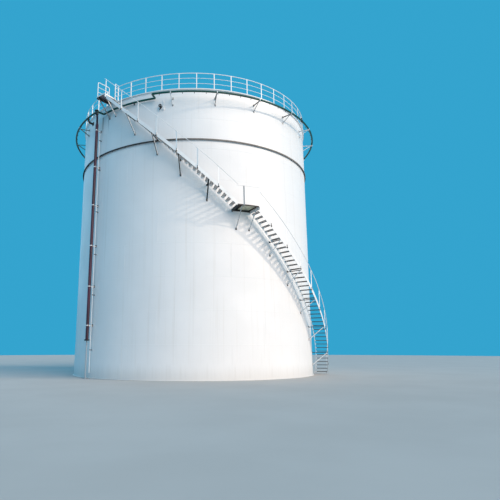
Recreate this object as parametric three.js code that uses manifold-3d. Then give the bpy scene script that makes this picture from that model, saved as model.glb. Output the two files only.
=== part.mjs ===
// Vertical storage tank with a round wall stair, a wind girder and a cooling spray ring
// Millimetres, +Z up, the origin on the ground at the tank's axis
// Azimuths are degrees from the front, -Y, positive towards +X

import * as THREE from "three";
import { mergeVertices } from "three/addons/utils/BufferGeometryUtils.js";
import Module from "manifold-3d";

const wasm = await Module();
wasm.setup();

// Gap between pieces that touch, and the turn of one facet of a round wall
const GAP = 0.3;
const FACET = 3.75;

// Shell and floor
const SHELL_R = 7500;
const SHELL_T = 30;
const SHELL_TOP = 15750;
const SHELL_SEGMENTS = 8;
const BOTTOM_T = 30;
const BOTTOM_LIP = 70;
const CURB_OUT = 80;
const CURB_T = 14;

// Roof
const DOME_R = 18000;
const ROOF_T = 24;
const ROOF_SEGMENTS = 4;
const ROOF_SEAT = 10;
const ROOF_RINGS = 3;
const ROOF_SIDES = 48;
const CROWN_HOLE_R = 600;
const CROWN_R = 800;
const CROWN_T = 20;

// Wind girder, an angle ring
const GIRDER_ARCS = 4;
const GIRDER_Z = 12770;
const GIRDER_LEG = 80;
const GIRDER_T = 14;

// Spray ring and its brackets
const RING_Z = 15250;
const RING_R = 8122;
const RING_PIPE_R = 60;
const RING_ARCS = 4;
const RING_SIDES = 6;
const BYPASS_R = 7645;
const BYPASS_FROM = -45.6;
const BYPASS_TO = -16.3;
const BYPASS_STEP_IN = 0.55;
const BYPASS_HANGERS = [-27.4, -35.0];
const BRACKET_FIRST = -9.4;
const BRACKET_TURN = 18;
const BRACKET_BAR_R = 22;
const BRACKET_DROP = 460;

// Stair
const STAIR_IN = 7720;
const STAIR_OUT = 8460;
const STRINGER_T = 14;
const STRINGER_ABOVE = 95;
const STRINGER_BELOW = 130;
const BEARER_T = 12;
const BEARER_ABOVE = -100;
const BEARER_BELOW = 118;
const TREAD_T = 30;
const TREAD_WIDTH = 200;
const TREAD_CLEAR = 6;
const HANGER_T = 16;
const HANGER_ABOVE = 12;
const PITCH_DROP = 50;
const LANDING_Z = 8900;
const LANDING_FROM = 15.2;
const LANDING_TO = 23.9;
const LANDING_DEPTH = 180;
const LANDING_STRUTS = [17.1, 23.0];
const LANDING_POSTS = [17.6, 23.7];
const LOWER_START = 22.5;
const LOWER_END = 85.6;
const LOWER_SPLIT = 54.7;
const LOWER_HANGER = 24.2;
const LOWER_RISERS = 42;
const LOWER_TURN = 1.505;
const LOWER_BRACKETS = [33.3, 43.9, 54.4, 64.9, 75.5];
const LOWER_POSTS = [28.6, 35.9, 43.3, 50.7, 58.1, 65.5, 72.9, 80.3, 84.6];
const UPPER_RISERS = 34;
const UPPER_BRACKETS = [-26.6, -15.8, -5.8, 5.0];
const UPPER_POSTS = [-37.0, -28.8, -21.4, -13.95, -6.5, 0.95, 8.4];
const PLATFORM_Z = 15920;
const PLATFORM_FROM = -42.4;
const PLATFORM_TO = -37.6;
const PLATFORM_DEPTH = 165;
const DECK_T = 12;
const STRUT_R = 22;
const EDGE_DEPTH = 65;
const ARM_WIDTH = 40;
const ARM_DEPTH = 36;
const LOWER_ARM = { below: 40, drop: 780 };
const UPPER_ARM = { below: 140, drop: 980 };
const LANDING_STRUT_DROP = 1090;
const PLATFORM_STRUT_DROP = 1030;

// Rails
const POST_R = 26;
const RAIL_R = 22;
const STAIR_RAIL_R = 18;
const STAIR_RAIL_H = 1040;
const LANDING_RAIL_H = 1020;
const LOWER_RAIL_END = 84.9;
const ROOF_POST_TURN = 7.5;
const ROOF_POST_FIRST = -36.8;
const ROOF_POST_AT = 7530;
const ROOF_RAIL_H = 960;
const ROOF_RAIL_SHARES = [0.34, 0.67, 1];
const ROOF_RAIL_BAYS = [12, 12, 12, 11];
const GUARD_H = 930;
const GUARD_STEP = 310;

// Riser, conduit and the fittings by them
const RISER_AZ = -48.6;
const RISER_R = 7800;
const RISER_PIPE_R = 90;
const RISER_LOW = 2010;
const RISER_BEND = 14700;
const RISER_CLAMPS = [14330, 12020, 9690, 7300, 4980, 2820];
const FLANGE_R = 145;
const FLANGE_T = 44;
const CONDUIT_AZ = -47.9;
const CONDUIT_R = 7640;
const CONDUIT_PIPE_R = 22;
const CONDUIT_LOW = 300;
const CONDUIT_TOP = 14180;
const CONDUIT_CLIPS = [13700, 11850, 9300, 6800, 4500, 1500];
const ELBOW_AZ = -52.2;
const ELBOW_PIPE_R = 60;
const NOZZLE_AZ = -14.6;
const NOZZLE_Z = 14760;

// Openings for people and pipes, on the side away from the stair head
const MANWAY_AZ = 136.875;
const MANWAY_Z = 780;
const OUTLET_AZ = 121.875;
const OUTLET_Z = 520;
const HATCH_AZ = 40;
const HATCH_R = 5400;

// Feet welded to the wall: how far a piece starts inside the wall before it is cut, and plate thickness
const ROOT = 30;
const FOOT_T = 14;

const rad = THREE.MathUtils.degToRad;

// Turn that a length along an arc covers
function turnOf(length, radius) {
  return THREE.MathUtils.radToDeg(length / radius);
}

// Finishes
function paint(color, roughness) {
  return new THREE.MeshStandardMaterial({ color, roughness, metalness: 0 });
}

const WHITE = paint(0xe9edee, 0.4);
const ROOF_WHITE = paint(0xdfe3e2, 0.5);
const RUST = paint(0x4c3a33, 0.8);
const GREEN = paint(0x0f2a22, 0.45);
const RAIL_WHITE = paint(0xe4ecef, 0.4);
const TREAD_GREY = paint(0x6b6660, 0.7);
const MAROON = paint(0x4a1f2c, 0.5);
const BLACK = paint(0x17181a, 0.5);
const PIPE_GREY = paint(0xb9bec2, 0.45);

const tank = new THREE.Group();

// Copy of a geometry whose faces share their corners
function indexed(geometry) {
  const bare = geometry.clone();
  bare.deleteAttribute("normal");
  bare.deleteAttribute("uv");
  return mergeVertices(bare, 0.001);
}

function solid(geometry) {
  const merged = indexed(geometry);
  return new wasm.Manifold(new wasm.Mesh({
    numProp: 3,
    vertProperties: new Float32Array(merged.attributes.position.array),
    triVerts: new Uint32Array(merged.index.array),
  }));
}

function join(solids) {
  return solids.reduce((whole, next) => whole.add(next));
}

function place(name, body, material) {
  const mesh = body.simplify(0.01).getMesh();
  const geometry = new THREE.BufferGeometry();
  geometry.setAttribute("position", new THREE.BufferAttribute(mesh.vertProperties, 3));
  geometry.setIndex(new THREE.BufferAttribute(mesh.triVerts, 1));
  geometry.computeVertexNormals();
  const node = new THREE.Mesh(geometry, material);
  node.name = name;
  tank.add(node);
}

// Point on the tank at an azimuth, a radius and a height
function spot(azimuth, radius, z) {
  return new THREE.Vector3(
    radius * Math.sin(rad(azimuth)), -radius * Math.cos(rad(azimuth)), z);
}

// Bends a straight piece round the tank: X is azimuth, Y radius, Z height
// The bend mirrors the piece, so its faces are turned back outwards
function wrap(geometry, rise = 0, from = 0) {
  geometry.setIndex(Array.from(geometry.index.array).reverse());
  const at = geometry.attributes.position;
  for (let i = 0; i < at.count; i += 1) {
    const climb = rise * (at.getX(i) - from);
    const point = spot(at.getX(i), at.getY(i), at.getZ(i) + climb);
    at.setXYZ(i, point.x, point.y, point.z);
  }
  return geometry;
}

function stepsIn(a0, a1, step) {
  return Math.max(1, Math.round((a1 - a0) / step));
}

// Curved bar of a rectangular section between two azimuths
function bar(a0, a1, r0, r1, z0, z1, rise = 0, step = FACET) {
  const box = new THREE.BoxGeometry(a1 - a0, r1 - r0, z1 - z0, stepsIn(a0, a1, step), 1, 1);
  box.translate((a0 + a1) / 2, (r0 + r1) / 2, (z0 + z1) / 2);
  return solid(wrap(box, rise, a0));
}

// Curved bar with any outline of radius and height
function rolled(a0, a1, outline) {
  const shape = new THREE.Shape(outline.map(([r, z]) => new THREE.Vector2(r, z)));
  const geometry = new THREE.ExtrudeGeometry(shape, {
    depth: a1 - a0, steps: stepsIn(a0, a1, FACET), bevelEnabled: false });
  const turn = new THREE.Matrix4().set(0, 0, 1, a0, 1, 0, 0, 0, 0, 1, 0, 0, 0, 0, 0, 1);
  return solid(wrap(indexed(geometry.applyMatrix4(turn))));
}

// Curved tube between two azimuths
function hoop(a0, a1, radius, z, tube, sides, rise = 0, step = FACET) {
  const pipe = new THREE.CylinderGeometry(tube, tube, a1 - a0, sides, stepsIn(a0, a1, step));
  pipe.rotateZ(-Math.PI / 2);
  pipe.translate((a0 + a1) / 2, radius, z);
  return solid(wrap(pipe, rise, a0));
}

// Straight round bar between two points
function rod(from, to, radius, sides) {
  const along = new THREE.Vector3().subVectors(to, from);
  const pipe = new THREE.CylinderGeometry(radius, radius, along.length(), sides);
  const up = new THREE.Vector3(0, 1, 0);
  pipe.applyQuaternion(new THREE.Quaternion().setFromUnitVectors(up, along.normalize()));
  const middle = new THREE.Vector3().addVectors(from, to).multiplyScalar(0.5);
  pipe.translate(middle.x, middle.y, middle.z);
  return solid(pipe);
}

// Box on a radius: wide across, deep along the radius
function block(azimuth, r0, r1, z0, z1, width) {
  const box = new THREE.BoxGeometry(width, r1 - r0, z1 - z0);
  box.translate(0, -(r0 + r1) / 2, (z0 + z1) / 2);
  box.rotateZ(rad(azimuth));
  return solid(box);
}

// Upright disc
function disc(centre, radius, thickness, sides) {
  const plate = new THREE.CylinderGeometry(radius, radius, thickness, sides);
  plate.rotateX(Math.PI / 2);
  plate.translate(centre.x, centre.y, centre.z);
  return solid(plate);
}

// Tube along a curve through points
function pipeAlong(points, radius, steps, sides) {
  const section = new THREE.Shape();
  section.absarc(0, 0, radius, 0, Math.PI * 2);
  return solid(new THREE.ExtrudeGeometry(section, {
    steps,
    curveSegments: sides / 2,
    bevelEnabled: false,
    extrudePath: new THREE.CatmullRomCurve3(points, false, "centripetal"),
  }));
}

// Round piece turned about the tank's axis
function turned(profile, sides) {
  const geometry = new THREE.LatheGeometry(profile.map(([r, z]) => new THREE.Vector2(r, z)), sides);
  geometry.rotateX(Math.PI / 2);
  return solid(geometry);
}

// Foot plate on the wall
function foot(azimuth, z0, z1, width) {
  return block(azimuth, SHELL_R - ROOT, SHELL_R + FOOT_T, z0, z1, width);
}

// The room that the shell takes up, with its gap, cut out of what is fixed to the wall
const SHELL_ROOM = disc(
  new THREE.Vector3(0, 0, (SHELL_TOP - CURB_T - GAP) / 2 - 50),
  SHELL_R + GAP, SHELL_TOP - CURB_T - GAP + 100, 360 / FACET);

function fixedToWall(body) {
  return body.subtract(SHELL_ROOM);
}

function makeBottom() {
  const middle = new THREE.Vector3(0, 0, BOTTOM_T / 2);
  place("bottom_plate", disc(middle, SHELL_R + BOTTOM_LIP, BOTTOM_T, 48), WHITE);
}

// Wall with the curb angle at its top
function makeShell() {
  const turn = 360 / SHELL_SEGMENTS;
  const seam = turnOf(GAP, SHELL_R) / 2;
  const inner = SHELL_R - SHELL_T;
  const low = BOTTOM_T + GAP;
  for (let i = 0; i < SHELL_SEGMENTS; i += 1) {
    const wall = rolled(i * turn + seam, (i + 1) * turn - seam, [
      [inner, low], [SHELL_R, low], [SHELL_R, SHELL_TOP - CURB_T],
      [SHELL_R + CURB_OUT, SHELL_TOP - CURB_T], [SHELL_R + CURB_OUT, SHELL_TOP], [inner, SHELL_TOP],
    ]);
    place(`shell_segment_${i + 1}`, wall, WHITE);
  }
}

const ROOF_R = SHELL_R - SHELL_T + ROOF_SEAT;

// Dome height at a radius above its edge
function domeRise(radius) {
  return Math.sqrt(DOME_R ** 2 - radius ** 2) - Math.sqrt(DOME_R ** 2 - ROOF_R ** 2);
}

const CROWN_Z = SHELL_TOP + ROOF_T + domeRise(CROWN_HOLE_R) + 2 * GAP;

function makeRoof() {
  const turn = 360 / ROOF_SEGMENTS;
  const seam = turnOf(GAP / 2, CROWN_HOLE_R);
  const reach = ROOF_R - CROWN_HOLE_R;
  for (let i = 0; i < ROOF_SEGMENTS; i += 1) {
    const sides = ROOF_SIDES / ROOF_SEGMENTS;
    const box = new THREE.BoxGeometry(turn - 2 * seam, reach, ROOF_T, sides, ROOF_RINGS, 1);
    box.translate((i + 0.5) * turn, ROOF_R - reach / 2, SHELL_TOP + GAP + ROOF_T / 2);
    const at = box.attributes.position;
    for (let k = 0; k < at.count; k += 1) {
      at.setZ(k, at.getZ(k) + domeRise(at.getY(k)));
    }
    place(`roof_segment_${i + 1}`, solid(wrap(box)), ROOF_WHITE);
  }
  const middle = new THREE.Vector3(0, 0, CROWN_Z + CROWN_T / 2);
  place("roof_crown", disc(middle, CROWN_R, CROWN_T, 32), ROOF_WHITE);
}

// The room that the dome takes up, cut out of what stands on it
function roofRoom() {
  const profile = [[0, 0], [ROOF_R, 0]];
  for (let i = ROOF_RINGS; i >= 0; i -= 1) {
    const r = CROWN_HOLE_R + (ROOF_R - CROWN_HOLE_R) * i / ROOF_RINGS;
    profile.push([r, SHELL_TOP + ROOF_T + 2 * GAP + domeRise(r)]);
  }
  profile.push([0, CROWN_Z]);
  return turned(profile, ROOF_SIDES);
}

function makeGirder() {
  const turn = 360 / GIRDER_ARCS;
  const near = SHELL_R + GAP;
  const far = SHELL_R + GIRDER_LEG;
  const seam = turnOf(GAP, near) / 2;
  for (let i = 0; i < GIRDER_ARCS; i += 1) {
    const angle = rolled(i * turn + seam, (i + 1) * turn - seam, [
      [near, GIRDER_Z - GIRDER_T], [far - GIRDER_T, GIRDER_Z - GIRDER_T],
      [far - GIRDER_T, GIRDER_Z - GIRDER_LEG], [far, GIRDER_Z - GIRDER_LEG],
      [far, GIRDER_Z], [near, GIRDER_Z],
    ]);
    place(`wind_girder_${i + 1}`, angle, RUST);
  }
}

// Triangular wall bracket under the ring
function ringBracket(azimuth) {
  const low = RING_Z - BRACKET_DROP;
  const armFrom = spot(azimuth, SHELL_R - ROOT, RING_Z - RING_PIPE_R);
  const armTo = spot(azimuth, RING_R, RING_Z - RING_PIPE_R / 2);
  const braceTo = spot(azimuth, RING_R - 20, RING_Z - 40);
  return join([
    rod(armFrom, armTo, BRACKET_BAR_R, 4),
    rod(spot(azimuth, SHELL_R - ROOT, low), braceTo, BRACKET_BAR_R, 4),
    foot(azimuth, RING_Z - 130, RING_Z + 20, 110),
    foot(azimuth, low - 60, low + 80, 110),
  ]);
}

const SLIT = turnOf(GAP, STAIR_OUT);

// Azimuths between which one arc of the ring runs
function ringEnds(i) {
  const sweep = (360 + BYPASS_FROM - BYPASS_TO) / RING_ARCS;
  return [BYPASS_TO + i * sweep + SLIT, BYPASS_TO + (i + 1) * sweep - SLIT];
}

// Ring main in arcs, each with its brackets, open behind the stair head
function makeSprayRing() {
  for (let i = 0; i < RING_ARCS; i += 1) {
    const [a0, a1] = ringEnds(i);
    const pieces = [hoop(a0, a1, RING_R, RING_Z, RING_PIPE_R, RING_SIDES)];
    for (let a = BRACKET_FIRST; a < a1; a += BRACKET_TURN) {
      if (a > a0) {
        pieces.push(ringBracket(a));
      }
    }
    place(`spray_ring_${i + 1}`, fixedToWall(join(pieces)), GREEN);
  }
}

// Pipe that steps in to the wall behind the stair head, with its hangers
function bypass(spare = 0) {
  const from = BYPASS_FROM + BYPASS_STEP_IN;
  const to = BYPASS_TO - BYPASS_STEP_IN;
  const pipe = RING_PIPE_R + spare;
  const run = 0.2 + spare * 0.01;
  const leg = (a) => rod(
    spot(a, BYPASS_R, RING_Z), spot(a, RING_R + 30 + spare, RING_Z), pipe - 2, RING_SIDES);
  const stub = (a0, a1) => hoop(a0, a1, RING_R, RING_Z, pipe, RING_SIDES);
  const hanger = (a) => block(a, SHELL_R - ROOT, BYPASS_R, RING_Z - 40, RING_Z + 40, 40);
  return fixedToWall(join([
    hoop(from, to, BYPASS_R, RING_Z, pipe, RING_SIDES),
    leg(from), leg(to),
    stub(BYPASS_FROM + SLIT, from + run), stub(to - run, BYPASS_TO - SLIT),
    ...BYPASS_HANGERS.map(hanger),
  ]));
}

// Pitch of a flight: the line through the middles of its treads, and its treads' places
function pitch(startAz, turn, rise, risers, a0, a1) {
  const slope = rise / turn;
  const start = LANDING_Z - PITCH_DROP;
  const heightAt = (a) => start + slope * (a - startAz);
  const treads = [];
  for (let i = 1; i < risers; i += 1) {
    treads.push([startAz + i * turn, start + i * rise]);
  }
  return { slope, heightAt, treads, a0, a1 };
}

const LOWER = pitch(LOWER_START, LOWER_TURN, -LANDING_Z / LOWER_RISERS, LOWER_RISERS,
  LANDING_TO + SLIT, LOWER_END);
const UPPER_TURN = (PLATFORM_TO - LANDING_FROM) / (UPPER_RISERS - 1);
const UPPER = pitch(LANDING_FROM - UPPER_TURN / 2, UPPER_TURN,
  (PLATFORM_Z - LANDING_Z) / UPPER_RISERS, UPPER_RISERS, PLATFORM_TO + SLIT, LANDING_FROM - SLIT);

// Band that follows a flight's pitch between two radii
function pitchBand(flight, r0, r1, below, above) {
  const z = flight.heightAt(flight.a0);
  return bar(flight.a0, flight.a1, r0, r1, z - below, z + above, flight.slope);
}

function aboveGround(body) {
  const ground = new THREE.BoxGeometry(4 * SHELL_R, 4 * SHELL_R, SHELL_R);
  ground.translate(0, 0, -SHELL_R / 2);
  return body.subtract(solid(ground));
}

// Arm that carries both stringers, with a strut back down to the wall
function stairBracket(azimuth, z, arm) {
  const top = z - arm.below;
  const low = z - arm.drop;
  return join([
    block(azimuth, SHELL_R - ROOT, STAIR_OUT - 4, top - ARM_DEPTH, top, ARM_WIDTH),
    rod(spot(azimuth, STAIR_OUT - 60, top - ARM_DEPTH / 2), spot(azimuth, SHELL_R - ROOT, low),
      STRUT_R, 4),
    foot(azimuth, top - ARM_DEPTH, top + 50, 90),
    foot(azimuth, low - 60, low + 60, 90),
  ]);
}

function makeStringers(name, flight, brackets, arm) {
  const inner = pitchBand(flight, STAIR_IN, STAIR_IN + STRINGER_T, STRINGER_BELOW, STRINGER_ABOVE);
  const outer = pitchBand(flight, STAIR_OUT - STRINGER_T, STAIR_OUT, STRINGER_BELOW, STRINGER_ABOVE);
  const arms = brackets.map((a) => stairBracket(a, flight.heightAt(a), arm));
  place(name, aboveGround(fixedToWall(join([inner, outer, ...arms]))), RAIL_WHITE);
}

// Treads between two azimuths, on the bearers that run inside the stringers
// The lower flight's first tread lies beyond the bearers' head and stands on a cross plate
function makeTreads(name, flight, a0, a1) {
  const near = STAIR_IN + STRINGER_T + GAP;
  const far = STAIR_OUT - STRINGER_T - GAP;
  const stretch = bar(a0, a1, SHELL_R, 2 * STAIR_OUT - SHELL_R, 0, 2 * SHELL_TOP);
  const pieces = [
    pitchBand(flight, near, near + BEARER_T, BEARER_BELOW, BEARER_ABOVE).intersect(stretch),
    pitchBand(flight, far - BEARER_T, far, BEARER_BELOW, BEARER_ABOVE).intersect(stretch),
  ];
  const across = (a, z0, z1, width) => block(a, near + 0.1, far - TREAD_CLEAR, z0, z1, width);
  for (const [a, z] of flight.treads) {
    if (a > a0 && a < a1) {
      pieces.push(across(a, z - TREAD_T, z, TREAD_WIDTH));
    }
  }
  if (a0 < LOWER_HANGER && LOWER_HANGER < a1) {
    const z = flight.heightAt(LOWER_HANGER);
    pieces.push(across(LOWER_HANGER, z - BEARER_BELOW, z + HANGER_ABOVE, HANGER_T));
  }
  place(name, join(pieces), TREAD_GREY);
}

// Level deck with a shallow outer edge, deep beams on its other sides and struts down to the wall
function makeDeck(a0, a1, inner, z, depth, struts, drop) {
  const turn = turnOf(DECK_T, STAIR_OUT);
  const step = (a1 - a0) / 3;
  const low = z - depth;
  const pieces = [
    bar(a0, a1, inner, STAIR_OUT, z - DECK_T, z, 0, step),
    bar(a0, a1, STAIR_OUT - DECK_T, STAIR_OUT, z - EDGE_DEPTH, z, 0, step),
    bar(a0, a1, inner, inner + DECK_T, low, z, 0, step),
    bar(a0, a0 + turn, inner, STAIR_OUT, low, z),
    bar(a1 - turn, a1, inner, STAIR_OUT, low, z),
  ];
  for (const a of struts) {
    const at = z - drop;
    pieces.push(block(a, inner, STAIR_OUT - 4, z - EDGE_DEPTH, z - DECK_T / 2, ARM_WIDTH));
    pieces.push(rod(spot(a, STAIR_OUT - 40, z - EDGE_DEPTH), spot(a, SHELL_R - ROOT, at), STRUT_R, 4));
    pieces.push(foot(a, at - 60, at + 60, 90));
  }
  return join(pieces);
}

function makeDecks() {
  const landing = makeDeck(LANDING_FROM, LANDING_TO, SHELL_R - ROOT, LANDING_Z, LANDING_DEPTH,
    LANDING_STRUTS, LANDING_STRUT_DROP);
  place("landing", fixedToWall(landing), TREAD_GREY);
  const inner = SHELL_R + CURB_OUT + 2;
  const corners = [PLATFORM_FROM + 0.4, PLATFORM_TO - 0.4];
  const platform = makeDeck(PLATFORM_FROM, PLATFORM_TO, inner, PLATFORM_Z, PLATFORM_DEPTH,
    corners, PLATFORM_STRUT_DROP);
  const step = bar(PLATFORM_FROM, PLATFORM_TO, ROOF_R + 8, inner + 4, SHELL_TOP + GAP,
    PLATFORM_Z - 60, 0, (PLATFORM_TO - PLATFORM_FROM) / 2);
  place("entry_platform", fixedToWall(platform.add(step)), TREAD_GREY);
}

// Upright round post
function post(azimuth, radius, z0, z1, sides = 6) {
  return rod(spot(azimuth, radius, z0), spot(azimuth, radius, z1), POST_R, sides);
}

// Guard along a radius: rails from an inner to an outer radius
function radialRails(azimuth, inner, outer, top, step) {
  return [0, 1, 2].map((i) => {
    const z = top - i * step - RAIL_R;
    return rod(spot(azimuth, inner, z), spot(azimuth, outer, z), RAIL_R, 6);
  });
}

// Roof-edge handrail in arcs: each starts on a post and runs to the next arc's first post
function makeRoofRail() {
  const base = SHELL_TOP + GAP;
  let a0 = ROOF_POST_FIRST;
  ROOF_RAIL_BAYS.forEach((bays, i) => {
    const last = i === ROOF_RAIL_BAYS.length - 1;
    const a1 = a0 + bays * ROOF_POST_TURN;
    const end = last ? a1 : a1 - turnOf(POST_R + GAP, ROOF_POST_AT);
    const pieces = [];
    for (let k = 0; k < bays + (last ? 1 : 0); k += 1) {
      pieces.push(post(a0 + k * ROOF_POST_TURN, ROOF_POST_AT, base, SHELL_TOP + ROOF_RAIL_H, 4));
    }
    for (const share of ROOF_RAIL_SHARES) {
      const z = SHELL_TOP + ROOF_RAIL_H * share - RAIL_R;
      pieces.push(hoop(a0, end, ROOF_POST_AT, z, RAIL_R, 4, 0, ROOF_POST_TURN));
    }
    if (i === 0) {
      const top = SHELL_TOP + ROOF_RAIL_H + 60;
      const outer = ROOF_POST_AT + 260;
      pieces.push(post(a0, outer, top - 1000, top));
      pieces.push(...radialRails(a0, ROOF_POST_AT, outer, top, 320));
    }
    place(`roof_rail_${i + 1}`, join(pieces), RAIL_WHITE);
    a0 = a1;
  });
}

// The radius at which a post's flat side meets the outer stringer
const STAIR_RAIL_AT = STAIR_OUT + POST_R * Math.cos(Math.PI / 6);

function makeStairRail(name, flight, a0, a1, posts) {
  const top = flight.heightAt(a0 + SLIT) + STAIR_RAIL_H - STAIR_RAIL_R;
  const pieces = [
    hoop(a0 + SLIT, a1 - SLIT, STAIR_RAIL_AT, top, STAIR_RAIL_R, 6, flight.slope),
  ];
  for (const a of posts) {
    const z = flight.heightAt(a);
    const low = Math.max(z - STRINGER_BELOW + 10, 0);
    pieces.push(post(a, STAIR_RAIL_AT, low, z + STAIR_RAIL_H - STAIR_RAIL_R));
  }
  const stringer = pitchBand(flight, STAIR_OUT - 60, STAIR_OUT + GAP,
    STRINGER_BELOW + 60, STRINGER_ABOVE + 60);
  place(name, join(pieces).subtract(stringer), RAIL_WHITE);
}

// Level guard on the landing's outer edge
function makeLandingGuard() {
  const step = (LANDING_TO - LANDING_FROM) / 3;
  const top = LANDING_Z + LANDING_RAIL_H;
  const pieces = [
    hoop(LANDING_FROM, LANDING_TO, STAIR_RAIL_AT, top - STAIR_RAIL_R, STAIR_RAIL_R, 6, 0, step),
  ];
  for (const a of LANDING_POSTS) {
    pieces.push(post(a, STAIR_RAIL_AT, LANDING_Z - EDGE_DEPTH, top));
  }
  const beam = bar(LANDING_FROM, LANDING_TO, STAIR_OUT - 60, STAIR_OUT + GAP,
    LANDING_Z - 2 * LANDING_DEPTH, LANDING_Z + 20, 0, step);
  place("landing_guard", join(pieces).subtract(beam), RAIL_WHITE);
}

// Guard across the platform's far end, from its outer corner to the roof's edge
function makeEntryGuard() {
  const top = PLATFORM_Z + GUARD_H;
  const a = PLATFORM_FROM + 0.3;
  const outer = STAIR_OUT - 30;
  const inner = ROOF_POST_AT + 90;
  const posts = [outer, inner].map((r) => post(a, r, PLATFORM_Z + GAP, top));
  const rails = radialRails(a, inner, outer, top, GUARD_STEP);
  place("entry_guard", join([...posts, ...rails]), RAIL_WHITE);
}

// Riser up the wall on clamps, out to the ring at its head
function makeRiser() {
  const head = BYPASS_FROM + BYPASS_STEP_IN;
  const at = (z) => spot(RISER_AZ, RISER_R, z);
  const swing = pipeAlong([
    at(RISER_BEND - 60), at(RISER_BEND),
    spot(head, RING_R, RING_Z - 170), spot(head, RING_R, RING_Z - 40),
  ], RING_PIPE_R, 6, 6);
  const pieces = [rod(at(RISER_LOW + FLANGE_T + GAP), at(RISER_BEND), RISER_PIPE_R, 8), swing];
  for (const z of RISER_CLAMPS) {
    pieces.push(disc(at(z), RISER_PIPE_R + 12, 60, 8));
    pieces.push(block(RISER_AZ, SHELL_R - ROOT, RISER_R, z - 30, z + 30, 50));
    pieces.push(foot(RISER_AZ, z - 70, z + 70, 120));
  }
  place("riser_pipe", fixedToWall(join(pieces)).subtract(bypass(GAP)), MAROON);
  place("riser_flange", disc(at(RISER_LOW + FLANGE_T / 2), FLANGE_R, FLANGE_T, 16), BLACK);
  const leg = rod(at(20), at(RISER_LOW - GAP), 36, 8);
  const base = block(RISER_AZ, RISER_R - 110, RISER_R + 110, 0, 22, 220);
  place("riser_foot", leg.add(base), PIPE_GREY);
}

function makeConduit() {
  const at = (z) => spot(CONDUIT_AZ, CONDUIT_R, z);
  const pieces = [rod(at(CONDUIT_LOW), at(CONDUIT_TOP), CONDUIT_PIPE_R, 8)];
  for (const z of CONDUIT_CLIPS) {
    pieces.push(block(CONDUIT_AZ, SHELL_R - ROOT, CONDUIT_R + 34, z - 25, z + 25, 70));
  }
  place("conduit", fixedToWall(join(pieces)), RAIL_WHITE);
}

// Hooked pipe under the ring, with a plate on its mouth
function makeElbow() {
  const top = RING_Z - RING_PIPE_R;
  const at = (back, drop) => spot(ELBOW_AZ, RING_R - back, top - drop);
  const hook = pipeAlong(
    [at(0, -10), at(0, 120), at(50, 215), at(150, 265), at(300, 265)], ELBOW_PIPE_R, 8, 8);
  const plate = block(ELBOW_AZ, RING_R - 322, RING_R - 300, top - 380, top - 150, 190);
  const [from, to] = ringEnds(RING_ARCS - 1);
  const ring = hoop(from, to, RING_R, RING_Z, RING_PIPE_R + GAP, RING_SIDES);
  place("ring_elbow", hook.add(plate).subtract(ring), BLACK);
}

// Small foam nozzle below the step in the pipe
function makeNozzle() {
  const at = (out, drop) => spot(NOZZLE_AZ, SHELL_R + out, NOZZLE_Z - drop);
  place("foam_nozzle", fixedToWall(join([
    rod(at(-ROOT, 0), at(150, 0), 45, 10),
    rod(at(150, 0), at(176, 0), 95, 14),
    rod(at(80, 0), at(80, 190), 36, 8),
  ])), BLACK);
}

// Neck and bolted cover of a round opening, along a direction
function manway(from, out, neckR, neck, rimR, cover) {
  const along = (d) => new THREE.Vector3().copy(from).addScaledVector(out, d);
  return join([
    rod(along(-80), along(neck + 2), neckR, 20),
    rod(along(neck), along(neck + cover), rimR, 20),
  ]);
}

function makeFittings() {
  const door = manway(spot(MANWAY_AZ, SHELL_R, MANWAY_Z), spot(MANWAY_AZ, 1, 0), 300, 190, 390, 60);
  place("shell_manway", fixedToWall(door), WHITE);
  const outlet = manway(spot(OUTLET_AZ, SHELL_R, OUTLET_Z), spot(OUTLET_AZ, 1, 0), 110, 170, 170, 60);
  place("outlet_nozzle", fixedToWall(outlet), WHITE);
  const onRoof = spot(HATCH_AZ, HATCH_R, SHELL_TOP + domeRise(HATCH_R));
  const hatch = manway(onRoof, new THREE.Vector3(0, 0, 1), 250, 230, 320, 60);
  place("roof_manhole", hatch.subtract(roofRoom()), WHITE);
}

// Breather on the crown
function makeVent() {
  const z = CROWN_Z + CROWN_T + GAP;
  place("roof_vent", turned([
    [0, z], [190, z], [190, z + 24], [110, z + 24], [110, z + 260],
    [230, z + 300], [230, z + 330], [0, z + 430],
  ], 20), WHITE);
}

makeBottom();
makeShell();
makeRoof();
makeGirder();
makeSprayRing();
place("spray_ring_bypass", bypass(), GREEN);
makeStringers("lower_stringers", LOWER, LOWER_BRACKETS, LOWER_ARM);
makeTreads("lower_flight_1", LOWER, LOWER.a0, LOWER_SPLIT - SLIT);
makeTreads("lower_flight_2", LOWER, LOWER_SPLIT, LOWER.a1);
makeStringers("upper_stringers", UPPER, UPPER_BRACKETS, UPPER_ARM);
makeTreads("upper_flight", UPPER, UPPER.a0, UPPER.a1);
makeDecks();
makeStairRail("upper_handrail", UPPER, PLATFORM_TO, LANDING_FROM, UPPER_POSTS);
makeStairRail("lower_handrail", LOWER, LANDING_TO, LOWER_RAIL_END, LOWER_POSTS);
makeLandingGuard();
makeRoofRail();
makeEntryGuard();
makeRiser();
makeConduit();
makeElbow();
makeNozzle();
makeFittings();
makeVent();

export default tank;
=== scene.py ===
"""Looks of a vertical storage tank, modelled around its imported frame

Metres, +Z up, the origin on the ground at the tank's axis
Azimuths are degrees from the front, -Y, positive towards +X
"""

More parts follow.
